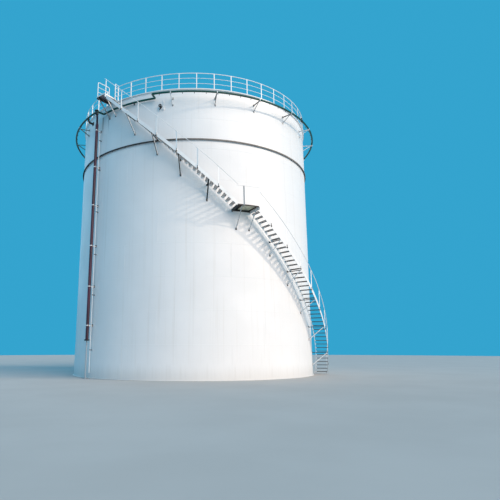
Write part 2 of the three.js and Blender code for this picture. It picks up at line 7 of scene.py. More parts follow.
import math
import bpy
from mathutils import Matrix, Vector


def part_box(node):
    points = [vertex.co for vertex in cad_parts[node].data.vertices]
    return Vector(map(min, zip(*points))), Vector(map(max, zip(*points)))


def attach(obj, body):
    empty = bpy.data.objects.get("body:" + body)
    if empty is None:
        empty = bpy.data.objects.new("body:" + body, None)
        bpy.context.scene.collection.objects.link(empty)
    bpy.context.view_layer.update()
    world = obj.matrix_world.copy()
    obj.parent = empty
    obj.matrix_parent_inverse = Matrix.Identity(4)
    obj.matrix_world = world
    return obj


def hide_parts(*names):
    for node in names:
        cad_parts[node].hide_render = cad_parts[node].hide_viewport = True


bl_info = {
    "name": "Storage tank",
    "version": (1, 0, 0),
    "blender": (4, 5, 0),
    "location": "3D View > Sidebar > Tank",
    "description": "Models the plates, stair, rails and pipes of a vertical storage tank",
    "category": "Object",
}

import bpy
from mathutils import Quaternion, Vector

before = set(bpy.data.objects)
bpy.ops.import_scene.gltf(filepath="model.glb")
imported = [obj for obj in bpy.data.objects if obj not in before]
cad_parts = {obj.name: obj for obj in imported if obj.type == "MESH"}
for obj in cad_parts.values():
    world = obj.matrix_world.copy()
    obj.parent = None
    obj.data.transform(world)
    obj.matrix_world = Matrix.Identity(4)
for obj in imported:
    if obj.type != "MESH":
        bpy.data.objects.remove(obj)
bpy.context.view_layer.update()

UP = Vector((0, 0, 1))
RIGHT = Vector((1, 0, 0))


def foot_of(node):
    """Height of a node's underside in the frame"""
    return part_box(node)[0][2]


def top_of(node):
    """Height of a node's top in the frame"""
    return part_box(node)[1][2]


def reach_of(node):
    """How far a node reaches to the right in the frame"""
    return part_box(node)[1][0]


# Gap between two seated pieces
SEAT = 0.0003

# Degrees up to which the facets of a rolled plate are shaded as one surface
PLATE_SMOOTH = 12

# Azimuths where the four parts of the roof and the girder start
QUARTERS = (0, 90, 180, 270)

# Degrees of one facet of what is rolled round the tank
WALL_STEP = 0.9375
PLATE_STEP = 1.875
PIPE_STEP = 1.25
DECK_STEP = 1.2
STAIR_STEP = 0.8

# Shell, floor and roof
SHELL_R = 7.5
SHELL_IN = 7.47
SHELL_LOW = foot_of("shell_segment_1")
SHELL_TOP = top_of("shell_segment_1")
COURSE = 1.75
COURSES = 9
SEGMENTS = 8
SEAM_TURN = 15
SEAM_TOP = SHELL_TOP - 0.12
CURB_OUT = reach_of("shell_segment_2")
FLOOR_R = reach_of("bottom_plate")
FLOOR_TOP = top_of("bottom_plate")
DOME_R = 18.0
ROOF_R = reach_of("roof_segment_1")
ROOF_TOP = 15.7743
HOLE_R = 0.6
CROWN_R = reach_of("roof_crown")
LAP_TURN = 15
LAP_WIDTH = 0.05
ROUND_LAPS = (2.9, 5.2)

# Wind girder and spray ring
GIRDER_Z = top_of("wind_girder_1")
GIRDER_LEG = GIRDER_Z - foot_of("wind_girder_1")
CLEAT_FIRST = 5.9
CLEAT_TURN = 7.5
CLEATS = 12
SPLICES = (22.4, 67.4)
RING_Z = (foot_of("spray_ring_bypass") + top_of("spray_ring_bypass")) / 2
RING_R = 8.116
BYPASS_R = 7.645
BYPASS_FROM = -45.6
BYPASS_TO = -16.3
BYPASS_LEGS = (-45.05, -16.85)
RING_ARCS = 4
RING_SWEEP = (360 + BYPASS_FROM - BYPASS_TO) / RING_ARCS
HANGERS = (-27.4, -35.0)
TEE_AZ = -45.7
VALVE_AZ = 53.7
BRACKET_FIRST = -9.4
BRACKET_TURN = 18
BRACKETS = [BRACKET_FIRST + BRACKET_TURN * k for k in range(19)]
BRACKET_FOOT_Z = 14.79
ARC_GAP = 0.004
COLLAR = 0.5
SPRAY_AIM = Vector((0, 0.62, -0.78))
BYPASS_BEND = 0.072
# Finish of the ring's wall brackets between two azimuths; the grey band at the front right and the green
# band at the front left are painted shade, as seen from below
BRACKET_FINISHES_AND_SHADE = (("white steel", -20, 0), ("strut steel", 0, 50), ("white steel", 50, 100),
                    ("strut steel", 100, 250), ("ring green", 250, 330))

# Stair; its line of pitch ends a little below the decks, and the stringers reach above and below it
STAIR_IN = 7.72
STAIR_OUT = 8.46
PITCH_DROP = 0.05
LANDING_Z = top_of("landing")
LANDING_FROM = 15.2
LANDING_TO = 23.9
LANDING_DEPTH = 0.18
LANDING_RAIL_H = 1.02
LANDING_STRUTS = (17.1, 23.0)
LANDING_DROP = 1.09
PLATFORM_Z = top_of("entry_platform")
PLATFORM_FROM = -42.4
PLATFORM_TO = -37.6
PLATFORM_DEPTH = 0.165
PLATFORM_STRUTS = (PLATFORM_FROM + 0.4, PLATFORM_TO - 0.4)
PLATFORM_DROP = 1.03
EDGE_DEPTH = 0.065
STRINGER_ABOVE = 0.095
STRINGER_BELOW = 0.13
STRINGER_WEB = 0.012
TREAD_INSET = 0.0145
TREAD_DEPTH = 0.2
TREAD_FOLD = 0.034
STAIR_RAIL_H = 1.04
RAIL_AT = 8.4825
POST_AT = STAIR_OUT + 0.002
ARM_DEPTH = 0.036
ARM_WIDTH = 0.04
UPPER_TURN = -1.6
LOWER_SPLIT = 54.7
LOWER_RAIL_END = 84.88

# Stair posts: those left of this azimuth show a deep leg, the others a slim one
DEEP_POSTS_TO = 5
DEEP_LEG = 0.045
SLIM_LEG = 0.014
# The landing post at 17.6 is all in blue-grey pipe paint, painted shade standing for its shaded side
LANDING_POSTS = ((17.6, "grey pipe", DEEP_LEG), (23.7, "painted-light white steel", SLIM_LEG))

# Roof edge
ROOF_POST_AT = 7.53
ROOF_POST_FIRST = -36.8
ROOF_POST_TURN = 7.5
ROOF_RAIL_BAYS = (12, 12, 12, 11)
ROOF_RAIL_H = 0.96
RAIL_SHARES = (0.34, 0.67, 1)

# Panel that closes the roof rail beside the stair's head, and the platform's guard
PANEL_H = 1.02
PANEL_REACH = 0.26
PANEL_GAP = 0.24
GUARD_H = 0.93
GUARD_GAP = 0.31

# Riser and conduit
RISER_AZ = -48.6
RISER_R = 7.8
RISER_LOW = foot_of("riser_flange")
RISER_BEND_Z = 14.66
REDUCER_H = 0.13
NECK_R = 0.058
NECK_BEND = 0.09
RISER_CLAMPS = (14.33, 12.02, 9.69, 7.3, 4.98, 2.82)
RISER_WELDS = (5.9, 9.9, 13.9)
FLANGE_R = 0.144
FLANGE_BOLTS_R = 0.118
CONDUIT_AZ = -47.9
CONDUIT_R = 7.64
CONDUIT_LOW = foot_of("conduit")
CONDUIT_HIGH = top_of("conduit")
CONDUIT_CLIPS = (13.7, 11.85, 9.3, 6.8, 4.5, 1.5)
CONDUIT_SLEEVES = (3.0, 6.0, 9.0, 12.0, 14.17)

# Small fittings and openings
HOOK_AZ = -52.2
HOOK_DROP = 0.265
HOOK_REACH = 0.3
HOOK_BEND = 0.2
HOOK_TUBE = 0.058
NOZZLE_AZ = -14.6
NOZZLE_Z = 14.76
BOX_AZ = -13.4
MANWAY_AZ = 136.875
MANWAY_Z = 0.78
OUTLET_AZ = 121.875
OUTLET_Z = 0.52
HATCH_AZ = 40
HATCH_R = 5.4

# Stage
FLOOR_SPREAD = 90
FLOOR_Z = -0.004
SKY = (0.035, 0.37, 0.62)

# Sun lamps: azimuth, elevation, strength, spread in degrees and tint
SUNS = {
    "key_sun": (72, 24, 1.25, 2.5, (1.0, 0.82, 0.64)),
    "soft_sun": (35, 28, 2.65, 55.0, (1.0, 0.76, 0.6)),
    "back_sun": (215, 35, 0.5, 60.0, (0.85, 0.93, 1.0)),
}

# Camera at the photograph's angle
CAMERA_AT = (0, -31.63, 1.6)
CAMERA_TURN = (101.35, 0, -1.06)
LENS = 34.2
SENSOR = 36
SHIFT = (0.094, 0.0054)


class Flight:
    """Line of pitch through the middles of a flight's treads, with its brackets and posts

    start and turn are where the first riser stands and how far round each goes; a0 and a1 are the ends
    """

    def __init__(self, start, turn, rise, risers, a0, a1, brackets, arm_below, strut_drop, posts):
        self.start = start
        self.slope = rise / turn
        self.treads = [(start + i * turn, self.z(start + i * turn)) for i in range(1, risers)]
        self.a0 = a0
        self.a1 = a1
        self.brackets = brackets
        self.arm_below = arm_below
        self.strut_drop = strut_drop
        self.posts = posts

    def z(self, azimuth):
        return LANDING_Z - PITCH_DROP + self.slope * (azimuth - self.start)


LOWER = Flight(start=22.5, turn=1.505, rise=-LANDING_Z / 42, risers=42, a0=LANDING_TO, a1=85.6,
               brackets=(33.3, 43.9, 54.4, 64.9, 75.5), arm_below=0.04, strut_drop=0.78,
               posts=(28.6, 35.9, 43.3, 50.7, 58.1, 65.5, 72.9, 80.3, 84.6))
UPPER = Flight(start=LANDING_FROM - UPPER_TURN / 2, turn=UPPER_TURN, rise=(PLATFORM_Z - LANDING_Z) / 34,
               risers=34, a0=PLATFORM_TO, a1=LANDING_FROM, brackets=(-26.6, -15.8, -5.8, 5.0),
               arm_below=0.14, strut_drop=0.98, posts=(-37.0, -28.8, -21.4, -13.95, -6.5, 0.95, 8.4))


def at(azimuth, radius, z):
    """Point on the tank"""
    turn = math.radians(azimuth)
    return Vector((radius * math.sin(turn), -radius * math.cos(turn), z))


def arc(length, radius):
    """Degrees that a length covers at a radius"""
    return math.degrees(length / radius)


# Selecting and joining

def deselect():
    active = bpy.context.view_layer.objects.active
    if active and active.mode != "OBJECT":
        bpy.ops.object.mode_set(mode="OBJECT")
    bpy.ops.object.select_all(action="DESELECT")


def pick(*parts):
    deselect()
    for part in parts:
        part.select_set(True)
    bpy.context.view_layer.objects.active = parts[0]


def settle(part, finish):
    """Puts a part's place in its mesh and gives it its finish"""
    pick(part)
    bpy.ops.object.transform_apply(location=True, rotation=True, scale=True)
    part.data.materials.clear()
    part.data.materials.append(bpy.data.materials[finish])
    return part


def edit(*steps):
    """Runs edit-mode steps on the active part with everything selected"""
    bpy.ops.object.mode_set(mode="EDIT")
    bpy.ops.mesh.select_all(action="SELECT")
    for step in steps:
        step()
    bpy.ops.object.mode_set(mode="OBJECT")


def outwards():
    bpy.ops.mesh.select_all(action="SELECT")
    bpy.ops.mesh.normals_make_consistent(inside=False)


def join(parts):
    pick(*parts)
    if len(parts) > 1:
        bpy.ops.object.join()
    return bpy.context.object


def finish_piece(name, parts, slot, *nodes, smooth=35):
    """Joins parts into one named piece that stands for its nodes"""
    piece = join(parts)
    piece.name = name
    piece.data.name = name
    pick(piece)
    bpy.ops.object.shade_smooth_by_angle(angle=math.radians(smooth))
    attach(piece, "root")
    if nodes:
        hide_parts(*nodes)
    return piece


def twin_of(model):
    """Copy of a part, with a mesh of its own"""
    twin = model.copy()
    twin.data = model.data.copy()
    bpy.context.collection.objects.link(twin)
    return twin


def copies(model, places):
    """Copies of a part that was modelled at the front, one to each azimuth and height"""
    made = []
    for azimuth, z in places:
        twin = twin_of(model)
        twin.rotation_euler.z = math.radians(azimuth)
        twin.location.z = z
        made.append(twin)
    bpy.data.objects.remove(model)
    pick(*made)
    bpy.ops.object.transform_apply(location=True, rotation=True, scale=True)
    return made


def around(model, azimuths):
    """Copies of a part that was modelled at the front, all at its own height"""
    return copies(model, [(azimuth, 0) for azimuth in azimuths])


# Drawing shapes

def trace(points, fill=True, close=True):
    """Outline drawn corner by corner from a plane that is drawn in to its first corner"""
    deselect()
    bpy.ops.mesh.primitive_plane_add(size=0.01, location=points[0])
    bpy.ops.object.mode_set(mode="EDIT")
    bpy.ops.mesh.merge(type="CENTER")
    for here, there in zip(points, points[1:]):
        step = Vector(there) - Vector(here)
        bpy.ops.mesh.extrude_vertices_move(TRANSFORM_OT_translate={"value": step})
    if close:
        bpy.ops.mesh.select_all(action="SELECT")
        bpy.ops.mesh.edge_face_add()
        if not fill:
            bpy.ops.mesh.delete(type="ONLY_FACE")
    bpy.ops.object.mode_set(mode="OBJECT")
    bpy.ops.object.transform_apply(location=True, rotation=True, scale=True)
    return bpy.context.object


def extruded(points, along, finish, bevel=0.0):
    """Filled outline pulled out into a bar or a plate"""
    part = trace(points)
    edit(lambda: bpy.ops.mesh.extrude_region_move(TRANSFORM_OT_translate={"value": Vector(along)}),
         outwards)
    if bevel:
        edit(lambda: bpy.ops.mesh.bevel(offset=bevel, segments=1, affect="EDGES"))
    return settle(part, finish)


def sweep(part, turn, steps, finish, rise=0.0):
    """Carries an outline round the tank's axis, and closes its two ends"""
    pick(part)
    screw = part.modifiers.new("round", "SCREW")
    screw.angle = math.radians(turn)
    screw.screw_offset = rise
    screw.steps = steps
    screw.render_steps = steps
    screw.use_merge_vertices = abs(turn) == 360
    screw.merge_threshold = 0.0001
    bpy.ops.object.modifier_apply(modifier=screw.name)
    bpy.ops.object.mode_set(mode="EDIT")
    bpy.ops.mesh.select_mode(type="EDGE")
    bpy.ops.mesh.select_all(action="DESELECT")
    if abs(turn) != 360:
        bpy.ops.mesh.select_non_manifold(
            use_multi_face=False, use_non_contiguous=False, use_verts=False)
        bpy.ops.mesh.edge_face_add()
    outwards()
    bpy.ops.mesh.select_mode(type="VERT")
    bpy.ops.object.mode_set(mode="OBJECT")
    return settle(part, finish)


def rolled(a0, a1, outline, finish, step=PLATE_STEP, rise=0.0):
    """Bar or plate of any outline of radius and height, rolled round the tank"""
    part = trace([at(a0, r, z) for r, z in outline], fill=False)
    return sweep(part, a1 - a0, max(1, round(abs(a1 - a0) / step)), finish, rise)


def flat_ring(a0, a1, r0, r1, z0, z1, finish):
    """Plate of the decks, between two azimuths, two radii and two heights"""
    return rolled(a0, a1, [(r0, z0), (r1, z0), (r1, z1), (r0, z1)], finish, DECK_STEP)


def hoop(a0, a1, radius, z, tube_r, finish, sides, step, rise=0.0):
    """Pipe rolled round the tank"""
    deselect()
    bpy.ops.mesh.primitive_circle_add(
        vertices=sides, radius=tube_r, fill_type="NOTHING", location=at(a0, radius, z),
        rotation=(math.pi / 2, 0, math.radians(a0 - 90)))
    bpy.ops.object.transform_apply(location=True, rotation=True, scale=True)
    part = bpy.context.object
    return sweep(part, a1 - a0, max(1, round(abs(a1 - a0) / step)), finish, rise)


def block(azimuth, r0, r1, z0, z1, width, finish, bevel=0.003):
    """Plate or bar that points along a radius, with its edges broken"""
    deselect()
    bpy.ops.mesh.primitive_cube_add(
        size=1, location=at(azimuth, (r0 + r1) / 2, (z0 + z1) / 2),
        rotation=(0, 0, math.radians(azimuth)))
    part = bpy.context.object
    part.scale = (width, r1 - r0, z1 - z0)
    settle(part, finish)
    edit(lambda: bpy.ops.mesh.bevel(offset=bevel, segments=1, affect="EDGES"))
    return part


def rod(start, end, radius, finish, sides=12):
    """Straight round bar with the edges of its ends broken"""
    deselect()
    run = end - start
    bpy.ops.mesh.primitive_cylinder_add(
        vertices=sides, radius=radius, depth=run.length, location=(start + end) / 2,
        rotation=run.to_track_quat("Z", "Y").to_euler())
    part = settle(bpy.context.object, finish)
    bpy.ops.object.mode_set(mode="EDIT")
    bpy.ops.mesh.select_mode(type="FACE")
    bpy.ops.mesh.select_all(action="DESELECT")
    bpy.ops.object.mode_set(mode="OBJECT")
    for face in part.data.polygons:
        face.select = abs(face.normal.dot(run.normalized())) > 0.9
    bpy.ops.object.mode_set(mode="EDIT")
    bpy.ops.mesh.bevel(offset=radius * 0.12, segments=1, affect="EDGES")
    bpy.ops.mesh.select_mode(type="VERT")
    bpy.ops.object.mode_set(mode="OBJECT")
    return part


def angle_section(leg, thick):
    """Outline of a rolled angle with its heel at the line"""
    return [(0, 0), (leg, 0), (leg, thick), (thick, thick), (thick, leg), (0, leg)]


def channel_section(width, height, thick):
    """Outline of a channel that opens downwards"""
    w = width / 2
    return [(-w, -height), (-w, 0), (w, 0), (w, -height), (w - thick, -height), (w - thick, -thick),
            (thick - w, -thick), (thick - w, -height)]


def bar(start, end, outline, finish, bevel=0.0, side=None):
    """Straight bar whose outline is given in steps to its side and upwards"""
    run = end - start
    side = side or run.cross(UP).normalized()
    up = side.cross(run).normalized()
    return extruded([start + side * x + up * y for x, y in outline], run, finish, bevel)


def upright(radius, z0, z1, width, finish, reach, thick=0.006):
    """Angle post at the front, one leg along the rail and the other at its right edge

    The second leg points inwards where its reach is negative
    """
    heel = width / 2
    face = math.copysign(thick, reach)
    outline = [(heel, 0), (-heel, 0), (-heel, face), (heel - thick, face),
               (heel - thick, reach), (heel, reach)]
    return bar(at(0, radius, z0), at(0, radius, z1), outline, finish, side=RIGHT)


def turned(profile, finish, centre=Vector(), axis=UP, steps=32):
    """Round piece turned from pairs of radius and height that start and end on its axis"""
    part = trace([Vector((r, 0, z)) for r, z in profile], close=False)
    sweep(part, 360, steps, finish)
    part.rotation_euler = axis.to_track_quat("Z", "Y").to_euler()
    part.location = centre
    return settle(part, finish)


def rounded(points, bend):
    """Route through points with an arc of short steps at each corner"""
    route = [points[0]]
    for before, corner, after in zip(points, points[1:], points[2:]):
        back = (before - corner).normalized()
        on = (after - corner).normalized()
        for i in range(7):
            t = i / 6
            a = corner + back * bend
            b = corner + on * bend
            route.append(a * (1 - t) ** 2 + corner * 2 * t * (1 - t) + b * t ** 2)
    route.append(points[-1])
    return route


def tube(points, radius, finish, bend=0.0, sides=3):
    """Pipe along a route, drawn as a line and swelled to its round section"""
    route = rounded(points, bend) if bend else points
    part = trace(route, close=False)
    pick(part)
    bpy.ops.object.convert(target="CURVE")
    line = bpy.context.object
    line.data.bevel_depth = radius
    line.data.bevel_resolution = sides
    line.data.use_fill_caps = True
    bpy.ops.object.convert(target="MESH")
    edit(lambda: bpy.ops.mesh.remove_doubles(threshold=0.0002), outwards)
    return settle(bpy.context.object, finish)


def band(centre, axis, radius, width, finish, thick=0.006, sides=20):
    """Strap round a pipe"""
    deselect()
    bpy.ops.mesh.primitive_cylinder_add(
        vertices=sides, radius=radius, depth=width, end_fill_type="NOTHING", location=centre,
        rotation=axis.to_track_quat("Z", "Y").to_euler())
    part = settle(bpy.context.object, finish)
    wall = part.modifiers.new("wall", "SOLIDIFY")
    wall.thickness = thick
    wall.offset = 1
    bpy.ops.object.modifier_apply(modifier=wall.name)
    return part


def bolt(centre, out, across):
    """Hexagon head"""
    return rod(centre, centre + out * across * 0.5, across / 2, "dark feet", 6)


def bolt_circle(centre, out, radius, count, across):
    """Bolts round a flange, modelled once and turned about its axis"""
    side = out.orthogonal().normalized()
    model = bolt(centre + side * radius, out, across)
    heads = []
    for i in range(count):
        twin = twin_of(model)
        pick(twin)
        spin = Quaternion(out, 2 * math.pi * i / count)
        twin.rotation_mode = "QUATERNION"
        twin.rotation_quaternion = spin
        twin.location = centre - spin @ centre
        bpy.ops.object.transform_apply(location=True, rotation=True, scale=True)
        twin.rotation_mode = "XYZ"
        heads.append(twin)
    bpy.data.objects.remove(model)
    return heads


def wall_foot(azimuth, z0, z1, width, finish="dark feet", thick=0.014):
    """Plate on the wall with its two bolts"""
    middle = (z0 + z1) / 2
    reach = (z1 - z0) * 0.3
    plate = block(azimuth, SHELL_R - 0.004, SHELL_R + thick, z0, z1, width, finish)
    return [plate] + [bolt(at(azimuth, SHELL_R + thick, z), at(azimuth, 1, 0), 0.03)
                      for z in (middle + reach, middle - reach)]


# Finishes

class Finish:
    """Node material of one finish; its patterns lie on Object coordinates"""

    def __init__(self, name):
        material = bpy.data.materials.new(name)
        material.use_nodes = True
        self.tree = material.node_tree
        self.shader = self.tree.nodes["Principled BSDF"]
        self.place = self.node("ShaderNodeTexCoord").outputs["Object"]
        self.relief = None

    def node(self, kind, settings=None, **inputs):
        made = self.tree.nodes.new(kind)
        for key, value in (settings or {}).items():
            setattr(made, key, value)
        for key, value in inputs.items():
            self.feed(made.inputs[key.replace("_", " ")], value)
        return made

    def feed(self, socket, value):
        """Links an output, or sets a number or a colour"""
        if isinstance(value, bpy.types.NodeSocket):
            self.tree.links.new(value, socket)
        elif isinstance(value, (tuple, list)) and len(value) == 3 and socket.type == "RGBA":
            socket.default_value = (*value, 1)
        else:
            socket.default_value = value

    def noise(self, scale, stretch=(1, 1, 1), detail=4, roughness=0.55, shift=(0, 0, 0)):
        spread = self.node("ShaderNodeMapping", Vector=self.place, Scale=stretch, Location=shift)
        return self.node("ShaderNodeTexNoise", Vector=spread.outputs["Vector"], Scale=scale,
                         Detail=detail, Roughness=roughness).outputs["Fac"]

    def cells(self, scale):
        return self.node("ShaderNodeTexVoronoi", Vector=self.place, Scale=scale).outputs["Distance"]

    def remap(self, value, low, high, to_low=0.0, to_high=1.0):
        return self.node("ShaderNodeMapRange", {"interpolation_type": "SMOOTHSTEP"}, Value=value,
                         From_Min=low, From_Max=high, To_Min=to_low, To_Max=to_high).outputs["Result"]

    def math(self, operation, a, b=0.0):
        made = self.node("ShaderNodeMath", {"operation": operation})
        self.feed(made.inputs[0], a)
        self.feed(made.inputs[1], b)
        return made.outputs["Value"]

    def both(self, a, b):
        """Product of two masks"""
        return self.math("MULTIPLY", a, b)

    def mix(self, share, a, b):
        """Mix of two colours, which this node takes at sockets 6 and 7 and gives at 2"""
        made = self.node("ShaderNodeMix", {"data_type": "RGBA"})
        self.feed(made.inputs["Factor"], share)
        self.feed(made.inputs[6], a)
        self.feed(made.inputs[7], b)
        return made.outputs[2]

    def over(self, base, tone, mask, low, high, share=1.0):
        """Lays a tone over a colour where a mask rises from low to high"""
        return self.mix(self.remap(mask, low, high, 0.0, share), base, tone)

    def part_of_place(self, axis):
        return self.node("ShaderNodeSeparateXYZ", Vector=self.place).outputs[axis]

    def facing(self):
        """How far a face looks up, from -1 to 1"""
        normal = self.node("ShaderNodeNewGeometry").outputs["Normal"]
        return self.node("ShaderNodeSeparateXYZ", Vector=normal).outputs["Z"]

    def azimuth(self):
        """Radians from the front"""
        return self.math("ARCTAN2", self.part_of_place("X"), self.both(self.part_of_place("Y"), -1.0))

    def patch(self, azimuth, width, low, high):
        """Mask of a stain on the wall at an azimuth, between two heights"""
        off = self.math("ABSOLUTE", self.math("SUBTRACT", self.azimuth(), math.radians(azimuth)))
        reach = width / SHELL_R / 2
        across = self.remap(off, reach * 0.3, reach, 1.0, 0.0)
        z = self.part_of_place("Z")
        down = self.remap(z, low, high, 0.0, 1.0)
        under = self.remap(z, high + 0.02, high + 0.06, 1.0, 0.0)
        return self.both(across, self.both(down, under))

    def bump(self, height, distance, strength=1.0):
        """Adds relief over what is there"""
        made = self.node("ShaderNodeBump", Height=height, Distance=distance, Strength=strength)
        if self.relief:
            self.feed(made.inputs["Normal"], self.relief)
        self.relief = made.outputs["Normal"]

    def done(self, colour, mask, smooth, rough):
        """Feeds the shader; the mask runs from the smooth places to the rough ones"""
        self.feed(self.shader.inputs["Base Color"], colour)
        self.feed(self.shader.inputs["Roughness"], self.remap(mask, 0.3, 0.7, smooth, rough))
        if self.relief:
            self.feed(self.shader.inputs["Normal"], self.relief)


def shade(colour, factor):
    return tuple(part * factor for part in colour)


RUST = (0.19, 0.075, 0.03)
DARK_RUST = (0.06, 0.032, 0.022)
DUST = (0.42, 0.39, 0.34)

# Stains on the wall: azimuth, width, low and high end, strength and colour
STAINS = (
    (-45.9, 0.42, 14.3, 15.15, 0.35, (0.34, 0.3, 0.34)),
    (-47.3, 0.2, 13.6, 15.16, 0.9, (0.14, 0.09, 0.055)),
    (-42.8, 0.12, 13.9, 15.1, 0.75, (0.12, 0.12, 0.15)),
    (63.0, 0.12, 11.4, 12.6, 0.4, RUST),
    (-112.0, 0.14, 13.6, 15.6, 0.5, RUST),
)


def make_wall_paint(colour):
    """White wall paint: faint upright runs, washed dust and a few rust stains"""
    paint = Finish("wall paint")
    clouds = paint.noise(0.35, detail=3)
    runs = paint.noise(1.0, (5.5, 5.5, 0.12), detail=5, roughness=0.6)
    z = paint.part_of_place("Z")
    base = paint.over(colour, shade(colour, 0.955), clouds, 0.35, 0.68)
    base = paint.over(base, shade(DUST, 1.25), runs, 0.52, 0.78, 0.22)
    base = paint.over(base, DUST, paint.noise(9.0, detail=3), 0.6, 0.8, 0.05)
    washed = paint.remap(paint.math("ADD", z, paint.both(runs, 0.9)), 0.35, 1.3, 0.3, 0.0)
    base = paint.mix(washed, base, shade(DUST, 0.9))
    base = paint.over(base, shade(colour, 1.04), z, RING_Z + 0.03, RING_Z + 0.08, 0.7)
    under = paint.both(paint.remap(z, GIRDER_Z - 1.17, GIRDER_Z - 0.17),
                       paint.remap(z, GIRDER_Z - 0.11, GIRDER_Z - 0.08, 1.0, 0.0))
    drip = paint.remap(paint.noise(1.0, (9, 9, 0.1), shift=(3, 1, 0)), 0.6, 0.76, 0.0, 0.3)
    base = paint.mix(paint.both(under, drip), base, (0.42, 0.27, 0.2))
    for azimuth, width, low, high, strength, stain in STAINS:
        mask = paint.both(paint.patch(azimuth, width, low, high), paint.remap(runs, 0.3, 0.6, 0.6, 1.0))
        base = paint.mix(paint.both(mask, strength), base, stain)
    paint.bump(paint.noise(3.2, (1, 1, 0.5), detail=2), 0.004, 0.35)
    paint.bump(paint.noise(70.0, detail=2), 0.0006, 0.4)
    paint.done(base, clouds, 0.36, 0.5)


def make_roof_paint(colour):
    """Weathered white paint with dust in clouds and specks"""
    paint = Finish("roof paint")
    clouds = paint.noise(0.6)
    specks = paint.noise(6.0, detail=5)
    base = paint.over(colour, shade(DUST, 1.2), clouds, 0.35, 0.7, 0.5)
    base = paint.over(base, shade(DUST, 0.6), specks, 0.58, 0.78, 0.35)
    paint.bump(specks, 0.003, 0.3)
    paint.done(base, clouds, 0.45, 0.7)


def make_girder_rust(colour):
    """Near-black rust with painted light: lighter grey towards the sunlit right, darkest in the shade at the
    left, with bloom and scraps of old paint
    """
    paint = Finish("girder rust")
    bloom = paint.noise(2.4, (1, 1, 2.5), detail=6, roughness=0.65)
    grains = paint.noise(38.0)
    # painted light: this mask rises from the shaded left to the sunlit right
    painted_sun_side = paint.remap(paint.part_of_place("X"), -3.2, 1.2)
    dark = paint.mix(painted_sun_side, colour, (0.17, 0.16, 0.15))
    pale = paint.mix(painted_sun_side, shade(colour, 2.5), (0.26, 0.235, 0.215))
    base = paint.over(dark, pale, bloom, 0.42, 0.7)
    base = paint.over(base, shade(DARK_RUST, 0.6), grains, 0.5, 0.75, 0.4)
    base = paint.over(base, (0.32, 0.31, 0.3), paint.noise(5.0, shift=(7, 2, 0)), 0.66, 0.74, 0.25)
    paint.bump(grains, 0.002, 0.6)
    paint.done(base, grains, 0.75, 0.95)


def make_ring_green(colour):
    """Dark green pipe paint, chalked in patches and dusty on top"""
    paint = Finish("ring green")
    chalk = paint.noise(2.0, detail=5)
    base = paint.over(colour, shade(colour, 1.7), chalk, 0.4, 0.72, 0.5)
    top = paint.remap(paint.facing(), 0.6, 1.0, 0.0, 0.3)
    dust = paint.both(top, paint.remap(paint.noise(7.0), 0.4, 0.65))
    base = paint.mix(dust, base, (0.1, 0.16, 0.15))
    paint.bump(paint.noise(45.0), 0.001, 0.4)
    paint.done(base, chalk, 0.32, 0.5)


def make_white_steel(name, colour):
    """White paint on steel sections, with small chips and rust at them"""
    paint = Finish(name)
    chips = paint.noise(26.0, detail=5)
    patches = paint.noise(2.2, detail=3, shift=(4, 4, 1))
    base = paint.over(colour, shade(colour, 0.93), patches, 0.4, 0.7)
    chipped = paint.both(paint.remap(chips, 0.62, 0.68), paint.remap(patches, 0.55, 0.7, 0.0, 0.7))
    base = paint.mix(chipped, base, shade(RUST, 0.8))
    paint.bump(chips, 0.0008, 0.3)
    paint.done(base, patches, 0.3, 0.46)


def make_tread_steel(colour):
    """Worn deck plate: dark and studded on top, with rubbed studs, and pale underneath"""
    paint = Finish("tread steel")
    grime = paint.noise(3.0, detail=5)
    studs = paint.cells(34.0)
    top = paint.remap(paint.facing(), 0.7, 0.95)
    base = paint.over(colour, shade(colour, 0.55), grime, 0.35, 0.7)
    base = paint.mix(paint.remap(paint.facing(), -0.95, -0.7, 0.9, 0.0), base, (0.66, 0.63, 0.62))
    base = paint.mix(paint.both(top, paint.remap(studs, 0.42, 0.2, 0.1, 0.7)), base, (0.36, 0.35, 0.33))
    base = paint.over(base, shade(RUST, 0.55), paint.noise(9.0), 0.6, 0.72, 0.5)
    paint.bump(paint.both(top, paint.remap(studs, 0.42, 0.24)), 0.004, 0.8)
    paint.done(base, grime, 0.6, 0.85)


def make_landing_steel(colour):
    """Olive-grey primer under the decks, duller on the upper one, and dark studded plate on top"""
    paint = Finish("landing steel")
    grime = paint.noise(2.6, detail=5)
    top = paint.remap(paint.facing(), 0.7, 0.95)
    studs = paint.remap(paint.cells(30.0), 0.42, 0.24)
    base = paint.over(colour, shade(colour, 0.55), grime, 0.42, 0.68)
    base = paint.over(base, (0.3, 0.26, 0.29), paint.part_of_place("Z"), 12.0, 14.0)
    base = paint.mix(top, base, paint.mix(studs, (0.12, 0.11, 0.1), (0.26, 0.25, 0.235)))
    base = paint.over(base, shade(RUST, 0.8), paint.noise(8.0, shift=(2, 5, 1)), 0.6, 0.74, 0.45)
    paint.bump(paint.noise(30.0), 0.001, 0.4)
    paint.bump(paint.both(top, studs), 0.003, 0.6)
    paint.done(base, grime, 0.55, 0.75)


def make_strut_steel(colour):
    """Grey steel with rust-brown stains, partly painted shade where it darkens bracket arms and strut legs
    """
    paint = Finish("strut steel")
    grime = paint.noise(4.0, detail=5)
    base = paint.over(colour, shade(colour, 0.78), paint.cells(60.0), 0.2, 0.6)
    base = paint.over(base, shade(RUST, 0.5), grime, 0.55, 0.72, 0.7)
    paint.bump(grime, 0.0015, 0.4)
    paint.done(base, grime, 0.45, 0.7)


def make_dark_feet(colour):
    """Rusted feet, clamps and bolts; also used as painted shade on strut legs and on the landing's beams"""
    paint = Finish("dark feet")
    rust = paint.noise(11.0, detail=5)
    base = paint.over(colour, (0.085, 0.066, 0.055), rust, 0.48, 0.66)
    paint.bump(paint.noise(60.0), 0.0015, 0.6)
    paint.done(base, rust, 0.65, 0.9)


